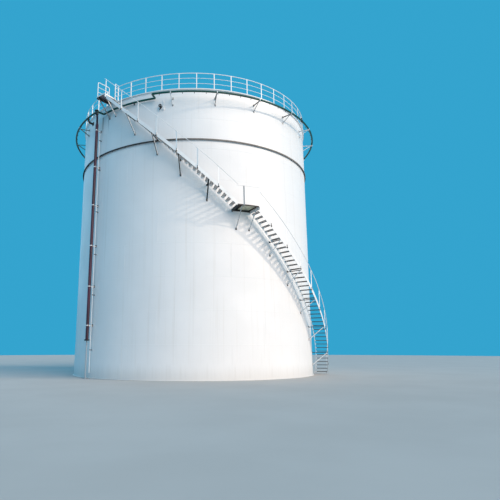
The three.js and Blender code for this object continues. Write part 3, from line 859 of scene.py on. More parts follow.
def make_riser_maroon(colour):
    """Maroon pipe paint, faded in upright patches"""
    paint = Finish("riser maroon")
    fade = paint.noise(2.0, (3, 3, 0.35))
    base = paint.over(colour, shade(colour, 1.9), fade, 0.42, 0.7)
    base = paint.over(base, shade(colour, 0.4), paint.noise(12.0), 0.6, 0.75, 0.5)
    paint.bump(paint.noise(40.0), 0.001, 0.35)
    paint.done(base, fade, 0.28, 0.45)


def make_black_fittings(colour):
    """Black paint, chalked grey in patches"""
    paint = Finish("black fittings")
    chalk = paint.noise(8.0, detail=5)
    base = paint.over(colour, (0.05, 0.05, 0.056), chalk, 0.45, 0.75, 0.5)
    paint.bump(paint.noise(55.0), 0.001, 0.5)
    paint.done(base, chalk, 0.34, 0.55)


def make_grey_pipe(colour):
    """Blue-grey pipe paint"""
    paint = Finish("grey pipe")
    fade = paint.noise(3.0, (2, 2, 0.5))
    base = paint.over(colour, shade(colour, 0.7), fade, 0.4, 0.7)
    paint.bump(paint.noise(40.0), 0.001, 0.35)
    paint.done(base, fade, 0.38, 0.55)


def make_floor_paint():
    """Pale studio floor"""
    paint = Finish("studio floor")
    clouds = paint.noise(0.3)
    paint.done(paint.over((0.44, 0.43, 0.42), (0.47, 0.46, 0.45), clouds, 0.3, 0.7), clouds, 0.9, 0.9)


# Settings

def length(name, default, description):
    return bpy.props.FloatProperty(
        name=name, description=description, default=default, min=0, unit="LENGTH", precision=4)


def colour(name, default, description):
    return bpy.props.FloatVectorProperty(
        name=name, description=description, default=default, min=0, max=1, subtype="COLOR")


class TankSizes(bpy.types.PropertyGroup):
    weld: length("Weld", 0.004, "Height of the wall's weld beads")
    ring_tube: length("Ring pipe", 0.056, "Radius of the ring's pipe")
    rail_tube: length("Roof rail", 0.021, "Radius of the roof's top rail")
    mid_tube: length("Middle rails", 0.0135, "Radius of the lower rails")
    stair_tube: length("Stair rail", 0.016, "Radius of the stair's handrail")
    post_leg: length("Post", 0.05, "Leg of the angle posts")
    riser_tube: length("Riser", 0.089, "Radius of the riser pipe")
    conduit_tube: length("Conduit", 0.021, "Radius of the conduit")
    spray_heads: bpy.props.IntProperty(
        name="Spray heads", description="Spray heads on each arc of the ring", default=18, min=1)


class TankColours(bpy.types.PropertyGroup):
    wall: colour("Wall", (0.84, 0.85, 0.86), "White wall paint")
    roof: colour("Roof", (0.78, 0.79, 0.78), "White roof paint")
    # painted shade: this near-black is the girder's colour at its shaded left end
    girder: colour("Girder", (0.018, 0.018, 0.02), "Dark rust of the wind girder")
    ring: colour("Ring", (0.002, 0.065, 0.055), "Dark green pipe paint")
    rails: colour("Rails", (0.86, 0.88, 0.89), "White paint of rails and stringers")
    # painted light: this white is brighter than the rails' only to stand for light on the posts and
    # handrails
    posts: colour("Posts", (0.97, 0.97, 0.97), "Newer white paint of the stair's posts and handrails")
    treads: colour("Treads", (0.085, 0.075, 0.066), "Worn deck plate")
    landing: colour("Decks", (0.74, 0.74, 0.56), "Primer under the decks")
    # this grey partly stands for shade on bracket arms and strut legs
    struts: colour("Struts", (0.34, 0.34, 0.34), "Galvanised struts")
    feet: colour("Feet", (0.035, 0.032, 0.032), "Feet, clamps and bolts")
    riser: colour("Riser", (0.038, 0.007, 0.02), "Maroon riser paint")
    fittings: colour("Fittings", (0.005, 0.005, 0.007), "Black fittings")
    pipe: colour("Foot pipe", (0.36, 0.42, 0.46), "Blue-grey pipe paint")


class MixFinishes(bpy.types.Operator):
    """Makes the materials of every finish"""

    bl_idname = "tank.finishes"
    bl_label = "Finishes"
    bl_options = {"REGISTER", "UNDO"}

    def execute(self, context):
        colours = context.scene.tank_colours
        make_wall_paint(tuple(colours.wall))
        make_roof_paint(tuple(colours.roof))
        make_girder_rust(tuple(colours.girder))
        make_ring_green(tuple(colours.ring))
        make_white_steel("white steel", tuple(colours.rails))
        # brighter copy of the white paint: painted light on posts, handrails, tread shoes and deck beams
        make_white_steel("painted-light white steel", tuple(colours.posts))
        make_tread_steel(tuple(colours.treads))
        make_landing_steel(tuple(colours.landing))
        make_strut_steel(tuple(colours.struts))
        make_dark_feet(tuple(colours.feet))
        make_riser_maroon(tuple(colours.riser))
        make_black_fittings(tuple(colours.fittings))
        make_grey_pipe(tuple(colours.pipe))
        make_floor_paint()
        return {"FINISHED"}


# Floor, wall and roof

class MakeWall(bpy.types.Operator):
    """Floor plate and wall plates with their welds and curb angle"""

    bl_idname = "tank.wall"
    bl_label = "Floor and wall"
    bl_options = {"REGISTER", "UNDO"}

    def execute(self, context):
        weld = context.scene.tank_sizes.weld
        floor = turned([(0, 0), (FLOOR_R - 0.003, 0), (FLOOR_R, 0.003), (FLOOR_R, FLOOR_TOP - 0.003),
                        (FLOOR_R - 0.003, FLOOR_TOP), (SHELL_R + 0.015, FLOOR_TOP),
                        (SHELL_R + 0.002, FLOOR_TOP + 0.0002), (0, FLOOR_TOP + 0.0002)],
                       "wall paint", steps=192)
        finish_piece("floor_plate", [floor], "shell_paint", "bottom_plate", smooth=PLATE_SMOOTH)
        turn = 360 / SEGMENTS
        for i in range(SEGMENTS):
            parts = [rolled(i * turn, (i + 1) * turn, self.section(weld), "wall paint", WALL_STEP)]
            parts += [self.seam(i * turn, turn, course, weld) for course in range(1, COURSES + 1)]
            finish_piece(f"wall_plates_{i + 1}", parts, "shell_paint", f"shell_segment_{i + 1}",
                         smooth=PLATE_SMOOTH)
        return {"FINISHED"}

    def seam(self, start, turn, course, weld):
        """Upright bead of one course, set over from the course below and just off the segment's edge"""
        shift = max(course * SEAM_TURN % turn, 0.08)
        low = max(SHELL_LOW, (course - 1) * COURSE)
        high = min(course * COURSE, SEAM_TOP)
        return block(start + shift, SHELL_R - 0.003, SHELL_R + weld, low, high, 0.016, "wall paint", 0.002)

    def section(self, weld):
        """Wall outline from foot to curb, with a bead at each course"""
        outline = [(SHELL_IN, SHELL_LOW), (SHELL_R, SHELL_LOW)]
        for course in range(1, COURSES):
            z = course * COURSE
            outline += [(SHELL_R, z - 0.011), (SHELL_R + weld, z - 0.004),
                        (SHELL_R + weld, z + 0.004), (SHELL_R, z + 0.011)]
        return outline + [
            (SHELL_R, SHELL_TOP - 0.1), (SHELL_R + 0.009, SHELL_TOP - 0.095),
            (SHELL_R + 0.009, SHELL_TOP - 0.046), (SHELL_R + 0.015, SHELL_TOP - 0.042),
            (CURB_OUT - 0.003, SHELL_TOP - 0.042), (CURB_OUT, SHELL_TOP - 0.039),
            (CURB_OUT, SHELL_TOP - 0.002), (CURB_OUT - 0.002, SHELL_TOP), (SHELL_IN, SHELL_TOP)]


def dome(radius):
    """Height of the dome over its edge"""
    return math.sqrt(DOME_R ** 2 - radius ** 2) - math.sqrt(DOME_R ** 2 - ROOF_R ** 2)


class MakeRoof(bpy.types.Operator):
    """Roof plates with their lap seams, and the crown plate"""

    bl_idname = "tank.roof"
    bl_label = "Roof"
    bl_options = {"REGISTER", "UNDO"}

    def execute(self, context):
        radii = [HOLE_R + (ROOF_R - HOLE_R) * i / 14 for i in range(15)]
        under = [(r, SHELL_TOP + SEAT + dome(r)) for r in radii]
        top = [(r, ROOF_TOP + dome(r)) for r in reversed(radii)]
        for i, a0 in enumerate(QUARTERS):
            parts = [rolled(a0, a0 + 90, under + top, "roof paint")]
            parts += [self.lap(a0 + (k + 0.5) * LAP_TURN) for k in range(90 // LAP_TURN)]
            parts += [self.round_lap(a0, r) for r in ROUND_LAPS]
            finish_piece(f"roof_plates_{i + 1}", parts, "roof_paint", f"roof_segment_{i + 1}",
                         smooth=PLATE_SMOOTH)
        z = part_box("roof_crown")[0][2]
        crown = turned([(0, z), (CROWN_R - 0.002, z), (CROWN_R, z + 0.002), (CROWN_R, z + 0.018),
                        (CROWN_R - 0.002, z + 0.02), (0, z + 0.02)], "roof paint", steps=64)
        heads = bolt_circle(Vector((0, 0, z + 0.019)), UP, CROWN_R - 0.06, 24, 0.03)
        finish_piece("crown_plate", [crown, *heads], "roof_paint", "roof_crown")
        return {"FINISHED"}

    def lap(self, azimuth):
        """Raised edge of one plate over the next, from crown to edge"""
        radii = [CROWN_R + 0.02 + (ROOF_R - 0.1 - CROWN_R) * k / 12 for k in range(13)]
        line = [at(azimuth, r, ROOF_TOP + dome(r) + 0.005) for r in radii]
        line += [at(azimuth, r, ROOF_TOP + dome(r) - 0.004) for r in reversed(radii)]
        return extruded(line, at(azimuth + 90, LAP_WIDTH, 0), "roof paint")

    def round_lap(self, a0, r):
        """Raised edge of the inner plates over the outer ones"""
        z = ROOF_TOP + dome(r)
        far = r + LAP_WIDTH
        outer = ROOF_TOP + dome(far)
        return rolled(a0, a0 + 90, [(r, z - 0.004), (far, outer - 0.004), (far, outer + 0.004),
                                    (r, z + 0.004)], "roof paint")


class MakeGirder(bpy.types.Operator):
    """Rusty wind girder with its cleats and splice plates"""

    bl_idname = "tank.girder"
    bl_label = "Wind girder"
    bl_options = {"REGISTER", "UNDO"}

    def execute(self, context):
        near = SHELL_R + SEAT
        far = SHELL_R + GIRDER_LEG
        low = GIRDER_Z - GIRDER_LEG
        outline = [(near, GIRDER_Z - 0.014), (far - 0.018, GIRDER_Z - 0.014),
                   (far - 0.014, GIRDER_Z - 0.018), (far - 0.014, low + 0.003), (far - 0.011, low),
                   (far - 0.003, low), (far, low + 0.003), (far, GIRDER_Z - 0.005),
                   (far - 0.005, GIRDER_Z), (near, GIRDER_Z)]
        for i, a0 in enumerate(QUARTERS):
            parts = [rolled(a0, a0 + 90, outline, "girder rust")]
            cleat = block(0, SHELL_R - 0.002, far - 0.016, low + 0.006, GIRDER_Z - 0.016, 0.014,
                          "girder rust")
            splice = block(0, far - 0.002, far + 0.006, low + 0.012, GIRDER_Z - 0.02, 0.2, "girder rust")
            parts += around(cleat, [a0 + CLEAT_FIRST + CLEAT_TURN * k for k in range(CLEATS)])
            parts += around(splice, [a0 + a for a in SPLICES])
            finish_piece(f"girder_{i + 1}", parts, "rusty_girder", f"wind_girder_{i + 1}")
        return {"FINISHED"}


# Spray ring

class MakeSprayRing(bpy.types.Operator):
    """Ring pipe with its spray heads, straps and wall brackets, and the valve block on it"""

    bl_idname = "tank.spray_ring"
    bl_label = "Spray ring"
    bl_options = {"REGISTER", "UNDO"}

    def execute(self, context):
        sizes = context.scene.tank_sizes
        tube_r = sizes.ring_tube
        for i in range(RING_ARCS):
            a0 = BYPASS_TO + i * RING_SWEEP
            a1 = a0 + RING_SWEEP
            parts = [hoop(a0 + ARC_GAP, a1 - ARC_GAP, RING_R, RING_Z, tube_r, "ring green", 16, PIPE_STEP)]
            parts += [hoop(a, a + COLLAR, RING_R, RING_Z, tube_r + 0.006, "ring green", 16, 0.25)
                      for a in (a0 + ARC_GAP, a1 - ARC_GAP - COLLAR)]
            head = turned([(0, 0), (0.014, 0), (0.014, 0.03), (0.022, 0.036), (0.022, 0.05),
                           (0.009, 0.066), (0, 0.066)], "black fittings",
                          at(0, RING_R - tube_r * 0.6, RING_Z - tube_r * 0.7), SPRAY_AIM, 8)
            step = RING_SWEEP / sizes.spray_heads
            parts += around(head, [a0 + step * (k + 0.5) for k in range(sizes.spray_heads)])
            for finish, first, last in BRACKET_FINISHES_AND_SHADE:
                chosen = [a for a in BRACKETS if a0 < a < a1 and first < a < last]
                if chosen:
                    parts += around(self.bracket(tube_r, finish), chosen)
            finish_piece(f"ring_pipe_{i + 1}", parts, "ring_paint", f"spray_ring_{i + 1}")
        body = block(VALVE_AZ, RING_R - 0.066, RING_R + 0.06, RING_Z - 0.064, RING_Z + 0.068, 0.13,
                     "black fittings", 0.012)
        stem = turned([(0, 0), (0.035, 0), (0.035, 0.05), (0.02, 0.06), (0.02, 0.1), (0.045, 0.11),
                       (0.045, 0.13), (0, 0.14)], "black fittings",
                      at(VALVE_AZ, RING_R, RING_Z + tube_r * 0.8), steps=14)
        finish_piece("ring_valve", [body, stem], "black_fittings")
        return {"FINISHED"}

    def bracket(self, tube_r, finish):
        """Parts of one wall bracket at the front"""
        arm_z = RING_Z - tube_r - 0.004
        section = [(0, -0.045), (0.006, -0.045), (0.006, -0.006), (0.045, -0.006), (0.045, 0), (0, 0)]
        arm = bar(at(0, SHELL_R, arm_z), at(0, RING_R + 0.045, arm_z), section, finish)
        brace = bar(at(0, SHELL_R, BRACKET_FOOT_Z), at(0, RING_R - 0.05, arm_z - 0.035),
                    angle_section(0.04, 0.006), finish)
        saddle = [block(0, RING_R - 0.05, RING_R + 0.05, arm_z - 0.002, arm_z + 0.006, 0.07,
                        "white steel"),
                  band(at(0, RING_R, RING_Z), RIGHT, tube_r, 0.045, "white steel", 0.004)]
        feet = wall_foot(0, RING_Z - 0.12, RING_Z, 0.08, "strut steel")
        feet += wall_foot(0, BRACKET_FOOT_Z - 0.05, BRACKET_FOOT_Z + 0.05, 0.07, "strut steel")
        return join([arm, brace, *saddle, *feet])


class MakeBypass(bpy.types.Operator):
    """Ring pipe that steps in to the wall behind the stair head, with its hangers and tee"""

    bl_idname = "tank.bypass"
    bl_label = "Ring bypass"
    bl_options = {"REGISTER", "UNDO"}

    def execute(self, context):
        tube_r = context.scene.tank_sizes.ring_tube
        left, right = BYPASS_LEGS
        along = [at(left + (right - left) * k / 20, BYPASS_R, RING_Z) for k in range(1, 20)]
        going_in = [at(BYPASS_FROM + 0.01, RING_R, RING_Z), at(left, RING_R, RING_Z),
                    at(left, BYPASS_R, RING_Z), along[0]]
        coming_out = [along[-1], at(right, BYPASS_R, RING_Z), at(right, RING_R, RING_Z),
                      at(BYPASS_TO - 0.01, RING_R, RING_Z)]
        route = rounded(going_in, BYPASS_BEND) + along[1:-1] + rounded(coming_out, BYPASS_BEND)
        parts = [tube(route, tube_r, "ring green", sides=5)]
        hanger = [block(0, SHELL_R + 0.0005, BYPASS_R - 0.03, RING_Z - 0.02, RING_Z + 0.02, 0.03,
                        "dark feet"),
                  band(at(0, BYPASS_R, RING_Z), RIGHT, tube_r, 0.04, "dark feet", 0.004)]
        hanger += wall_foot(0, RING_Z - 0.07, RING_Z + 0.07, 0.08, thick=0.01)
        parts += around(join(hanger), HANGERS)
        tee = [(0, -0.12), (0.11, -0.12), (0.11, -0.095), (0.09, -0.088), (0.09, 0.07), (0.12, 0.077),
               (0.12, 0.115), (0.04, 0.122), (0.04, 0.14), (0, 0.142)]
        parts.append(turned(tee, "black fittings", at(TEE_AZ, RING_R - 0.02, RING_Z), steps=24))
        finish_piece("ring_bypass", parts, "ring_paint", "spray_ring_bypass")
        return {"FINISHED"}


# Stair and decks

class MakeStair(bpy.types.Operator):
    """Stringers, treads and wall brackets of both flights"""

    bl_idname = "tank.stair"
    bl_label = "Stair"
    bl_options = {"REGISTER", "UNDO"}

    def execute(self, context):
        self.build("lower", LOWER, (("lower_treads_1", LOWER.a0, LOWER_SPLIT, "lower_flight_1"),
                                    ("lower_treads_2", LOWER_SPLIT, LOWER.a1, "lower_flight_2")))
        self.build("upper", UPPER, (("upper_treads", UPPER.a0, UPPER.a1, "upper_flight"),))
        return {"FINISHED"}

    def build(self, name, flight, lengths):
        """Both stringers with the brackets as one piece, and the treads in one piece a length"""
        parts = []
        for edge, inwards in ((STAIR_OUT, -1), (STAIR_IN, 1)):
            z = flight.z(flight.a0)
            low, high = z - STRINGER_BELOW, z + STRINGER_ABOVE
            web = edge + inwards * STRINGER_WEB
            nick = 0.002
            section = [(edge, low + nick), (edge + inwards * nick, low), (web, low), (web, high),
                       (edge + inwards * nick, high), (edge, high - nick)]
            rise = flight.slope * (flight.a1 - flight.a0)
            stringer = rolled(flight.a0, flight.a1, section, "white steel", STAIR_STEP, rise)
            parts.append(self.cut_at_ground(stringer))
        places = [(a, flight.z(a)) for a in flight.brackets]
        parts += copies(self.bracket(flight), places)
        finish_piece(f"{name}_stringer_pair", parts, "rail_paint", f"{name}_stringers")
        for piece, a0, a1, node in lengths:
            treads = [(a, z) for a, z in flight.treads if a0 <= a <= a1]
            made = copies(self.tread(), treads)
            finish_piece(piece, made, "tread_plate", node)

    def cut_at_ground(self, part):
        """Cuts off what the ends of the lower stringers have below the ground"""
        pick(part)
        edit(lambda: bpy.ops.mesh.bisect(plane_co=(0, 0, 0), plane_no=(0, 0, 1), clear_inner=True,
                                         use_fill=True), outwards)
        return part

    def tread(self):
        """Folded tread with a cleat at each end and a white shoe at the wall's side"""
        near = STAIR_IN + TREAD_INSET
        far = STAIR_OUT - TREAD_INSET
        plate = bar(at(0, near, 0), at(0, far, 0), channel_section(TREAD_DEPTH, TREAD_FOLD, 0.006),
                    "tread steel")
        shoe = block(0, near, near + 0.06, -0.037, 0.0015, 0.205, "painted-light white steel", 0.001)
        cleats = [block(0, r, r + 0.006, -0.06, -0.004, 0.15, "white steel", 0.001)
                  for r in (near, far - 0.006)]
        return join([plate, shoe, *cleats])

    def bracket(self, flight):
        """Cross arm that carries both stringers, with its strut and feet, about the line of pitch"""
        top = -flight.arm_below
        low = -flight.strut_drop
        parts = [bar(at(0, SHELL_R, top), at(0, STAIR_OUT - 0.004, top),
                     channel_section(ARM_WIDTH, ARM_DEPTH, 0.005), "dark feet", 0.001)]
        # the strut's leg in the dark feet finish is painted shade
        parts += strut(at(0, SHELL_R + 0.004, low), at(0, STAIR_OUT - 0.06, top - ARM_DEPTH / 2),
                       "white steel", "dark feet", flight is UPPER)
        parts += wall_foot(0, low - 0.06, low + 0.06, 0.09)
        parts += wall_foot(0, top - ARM_DEPTH, top + 0.05, 0.09)
        return join(parts)


def strut(low, high, web_finish, shade_leg_finish, heavy=False):
    """Angle strut: a light one hangs its web at its left, a heavy one at its right; the leg's dark finish is
    painted shade
    """
    if heavy:
        web = [(-0.036, -0.046), (-0.029, -0.046), (-0.029, 0.023), (-0.036, 0.023)]
        leg = [(-0.036, 0.0235), (0.036, 0.0235), (0.036, 0.03), (-0.036, 0.03)]
    else:
        web = [(0.019, -0.027), (0.026, -0.027), (0.026, 0.013), (0.019, 0.013)]
        leg = [(-0.026, 0.0135), (0.026, 0.0135), (0.026, 0.02), (-0.026, 0.02)]
    return [bar(low, high, web, web_finish), bar(low, high, leg, shade_leg_finish)]


def deck(a0, a1, inner, z, depth, arms, plate_finish, frame_finish, edge_finish, end_finish):
    """Deck plate with a shallow outer edge, deep inner and end beams, and an arm over each strut"""
    outer = STAIR_OUT
    low = z - depth
    sill = low + 0.055
    lip = z - EDGE_DEPTH + 0.006
    edge = [(outer, z - EDGE_DEPTH), (outer, z), (outer - 0.008, z), (outer - 0.008, lip),
            (outer - 0.03, lip), (outer - 0.03, z - EDGE_DEPTH)]
    beam = [(inner, sill), (inner, z - 0.012), (inner + 0.01, z - 0.012), (inner + 0.01, sill)]
    parts = [
        flat_ring(a0 + 0.02, a1 - 0.02, inner + 0.001, outer - 0.009, z - 0.008, z - 0.001, plate_finish),
        rolled(a0, a1, edge, edge_finish, DECK_STEP),
        rolled(a0, a1, beam, frame_finish, DECK_STEP),
        # white bar under the inner beam, in the brighter white as painted light
        flat_ring(a0, a1, inner, inner + 0.02, low, sill - 0.001, "painted-light white steel"),
    ]
    half = arc(0.03, outer)
    end_section = channel_section(0.056, depth - 0.01, 0.007)
    arm_section = channel_section(ARM_WIDTH, EDGE_DEPTH - 0.01, 0.005)
    beams = [(a0 + half, end_section, frame_finish), (a1 - half, end_section, end_finish)]
    for a, section, finish in beams + [(a, arm_section, frame_finish) for a in arms]:
        parts.append(bar(at(a, inner + 0.01, z - 0.009), at(a, outer - 0.009, z - 0.009), section,
                         finish, 0.001))
    return parts


def deck_strut(a, z, drop, web_finish, shade_leg_finish):
    """Strut from the wall to a deck's outer edge"""
    low = z - drop
    parts = strut(at(a, SHELL_R + 0.005, low), at(a, STAIR_OUT - 0.04, z - EDGE_DEPTH), web_finish,
                  shade_leg_finish, a < 0)
    return parts + wall_foot(a, low - 0.06, low + 0.06, 0.09)


class MakeDecks(bpy.types.Operator):
    """Landing and the platform at the stair's head"""

    bl_idname = "tank.decks"
    bl_label = "Landing and platform"
    bl_options = {"REGISTER", "UNDO"}

    def execute(self, context):
        # The landing's frame and outer edge in the dark feet finish are painted shade; its right end beam in
        # the brighter white is painted light
        parts = deck(LANDING_FROM, LANDING_TO, SHELL_R + 0.003, LANDING_Z, LANDING_DEPTH, LANDING_STRUTS,
                     "landing steel", "dark feet", "dark feet", "painted-light white steel")
        for a in LANDING_STRUTS:
            parts += deck_strut(a, LANDING_Z, LANDING_DROP, "white steel", "strut steel")
        # dark sheet under the left end of the landing's plate: painted shade
        parts.append(flat_ring(LANDING_FROM + 0.05, LANDING_STRUTS[0] - 0.1, SHELL_R + 0.02,
                               STAIR_OUT - 0.012, LANDING_Z - 0.03, LANDING_Z - 0.01, "dark feet"))
        finish_piece("landing_deck", parts, "tread_plate", "landing")
        inner = CURB_OUT + 0.002
        parts = deck(PLATFORM_FROM, PLATFORM_TO, inner, PLATFORM_Z, PLATFORM_DEPTH, PLATFORM_STRUTS,
                     "landing steel", "tread steel", "white steel", "white steel")
        for a, finish in zip(PLATFORM_STRUTS, ("strut steel", "white steel")):
            parts += deck_strut(a, PLATFORM_Z, PLATFORM_DROP, finish, "dark feet")
        parts.append(flat_ring(PLATFORM_FROM + 0.05, PLATFORM_TO - 0.05, ROOF_R + 0.012, inner + 0.02,
                               SHELL_TOP + 0.0005, PLATFORM_Z - 0.062, "tread steel"))
        finish_piece("head_platform", parts, "tread_plate", "entry_platform")
        return {"FINISHED"}


# Rails

class MakeStairRails(bpy.types.Operator):
    """Handrails of both flights and the landing's guard"""

    bl_idname = "tank.stair_rails"
    bl_label = "Stair rails"
    bl_options = {"REGISTER", "UNDO"}

    def execute(self, context):
        sizes = context.scene.tank_sizes
        self.rail(sizes, "upper_rail", UPPER, PLATFORM_TO + 0.02, LANDING_FROM - 0.02, "upper_handrail")
        self.rail(sizes, "lower_rail", LOWER, LANDING_TO + 0.02, LOWER_RAIL_END, "lower_handrail")
        top = LANDING_Z + LANDING_RAIL_H - sizes.stair_tube
        parts = [hoop(LANDING_FROM, LANDING_TO, RAIL_AT, top, sizes.stair_tube, "painted-light white steel", 10, 1.0)]
        for a, finish, reach in LANDING_POSTS:
            post = upright(POST_AT, LANDING_Z - EDGE_DEPTH + 0.003, top, 0.05, finish, reach)
            parts += around(post, [a])
        finish_piece("landing_rail", parts, "rail_paint", "landing_guard")
        return {"FINISHED"}

    def rail(self, sizes, name, flight, a0, a1, node):
        """Handrail and posts of one flight

        A post whose clamp would be in the ground is a plain short one
        """
        tube_r = sizes.stair_tube
        width = sizes.post_leg * 1.2
        z = flight.z(a0) + STAIR_RAIL_H - tube_r
        rise = flight.slope * (a1 - a0)
        parts = [hoop(a0, a1, RAIL_AT, z, tube_r, "painted-light white steel", 10, STAIR_STEP, rise)]
        standing = [(a, flight.z(a)) for a in flight.posts if flight.z(a) > STRINGER_BELOW]
        deep = [place for place in standing if place[0] < DEEP_POSTS_TO]
        slim = [place for place in standing if place[0] >= DEEP_POSTS_TO]
        for reach, chosen in ((DEEP_LEG, deep), (SLIM_LEG, slim)):
            if chosen:
                parts += copies(self.post(tube_r, width, reach), chosen)
        for a in flight.posts:
            if flight.z(a) <= STRINGER_BELOW:
                top = flight.z(a) + STAIR_RAIL_H - tube_r
                parts += around(upright(POST_AT, 0.004, top, width, "painted-light white steel", SLIM_LEG), [a])
        finish_piece(name, parts, "rail_paint", node)

    def post(self, tube_r, width, reach):
        """Post about the line of pitch, with its clamp and bolt on the stringer"""
        low = -STRINGER_BELOW
        near = STAIR_OUT + 0.001
        post = upright(POST_AT, low + 0.03, STAIR_RAIL_H - tube_r, width, "painted-light white steel", reach)
        clamp = block(0, near, STAIR_OUT + 0.03, low + 0.005, low + 0.075, 0.07, "dark feet")
        lug = block(0, near, STAIR_OUT + 0.024, low + 0.07, 0.05, 0.024, "dark feet")
        return join([post, clamp, lug, bolt(at(0, STAIR_OUT + 0.0075, 0.07), at(0, 1, 0), 0.022)])


class MakeRoofRail(bpy.types.Operator):
    """Roof-edge handrail of angle posts and three rails"""

    bl_idname = "tank.roof_rail"
    bl_label = "Roof rail"
    bl_options = {"REGISTER", "UNDO"}

    def execute(self, context):
        sizes = context.scene.tank_sizes
        base = SHELL_TOP + SEAT
        tubes = (sizes.mid_tube, sizes.mid_tube, sizes.rail_tube)
        a0 = ROOF_POST_FIRST
        for i, bays in enumerate(ROOF_RAIL_BAYS):
            last = i == len(ROOF_RAIL_BAYS) - 1
            a1 = a0 + bays * ROOF_POST_TURN
            parts = []
            for share, tube_r in zip(RAIL_SHARES, tubes):
                z = SHELL_TOP + ROOF_RAIL_H * share - tube_r
                parts.append(hoop(a0, a1, ROOF_POST_AT, z, tube_r, "white steel", 8, PIPE_STEP))
            post = upright(ROOF_POST_AT + 0.02, base, SHELL_TOP + ROOF_RAIL_H - sizes.rail_tube,
                           sizes.post_leg, "white steel", -sizes.post_leg)
            sole = block(0, ROOF_POST_AT - 0.045, ROOF_POST_AT + 0.035, base, base + 0.01, 0.1,
                         "white steel")
            posts = bays + 1 if last else bays
            parts += around(join([post, sole]), [a0 + k * ROOF_POST_TURN for k in range(posts)])
            if i == 0:
                parts += self.return_panel(sizes, a0)
            finish_piece(f"edge_rail_{i + 1}", parts, "rail_paint", f"roof_rail_{i + 1}")
            a0 = a1
        return {"FINISHED"}

    def return_panel(self, sizes, azimuth):
        """Short panel that closes the rail beside the stair's head"""
        top = SHELL_TOP + PANEL_H
        outer = ROOF_POST_AT + PANEL_REACH
        post = around(upright(outer, top - 1.0, top - 0.02, 0.045, "white steel", -0.045), [azimuth])
        heights = [top - 0.02 - k * PANEL_GAP for k in range(4)]
        return post + [rod(at(azimuth, ROOF_POST_AT, z), at(azimuth, outer, z), sizes.mid_tube + 0.004,
                           "white steel", 10) for z in heights]


class MakeEntryGuard(bpy.types.Operator):
    """Guard across the platform's far end, a bent frame with two rails"""

    bl_idname = "tank.entry_guard"
    bl_label = "Entry guard"
    bl_options = {"REGISTER", "UNDO"}

    def execute(self, context):
        sizes = context.scene.tank_sizes
        a = PLATFORM_FROM + 0.3
        outer = STAIR_OUT - 0.03
        inner = ROOF_POST_AT + 0.09
        top = PLATFORM_Z + GUARD_H - sizes.rail_tube
        base = PLATFORM_Z + SEAT
        route = [at(a, outer, base), at(a, outer, top), at(a, inner, top), at(a, inner, base)]
        parts = [tube(route, sizes.rail_tube + 0.002, "white steel", 0.09, 4)]
        parts += [rod(at(a, inner, z), at(a, outer, z), sizes.mid_tube + 0.002, "white steel", 10)
                  for z in (top - GUARD_GAP, top - 2 * GUARD_GAP)]
        parts += [block(a, r - 0.05, r + 0.03, base, base + 0.01, 0.09, "white steel")
                  for r in (outer, inner)]
        finish_piece("guard_frame", parts, "rail_paint", "entry_guard")
        return {"FINISHED"}


# Pipes and fittings

def on_riser(z):
    return at(RISER_AZ, RISER_R, z)


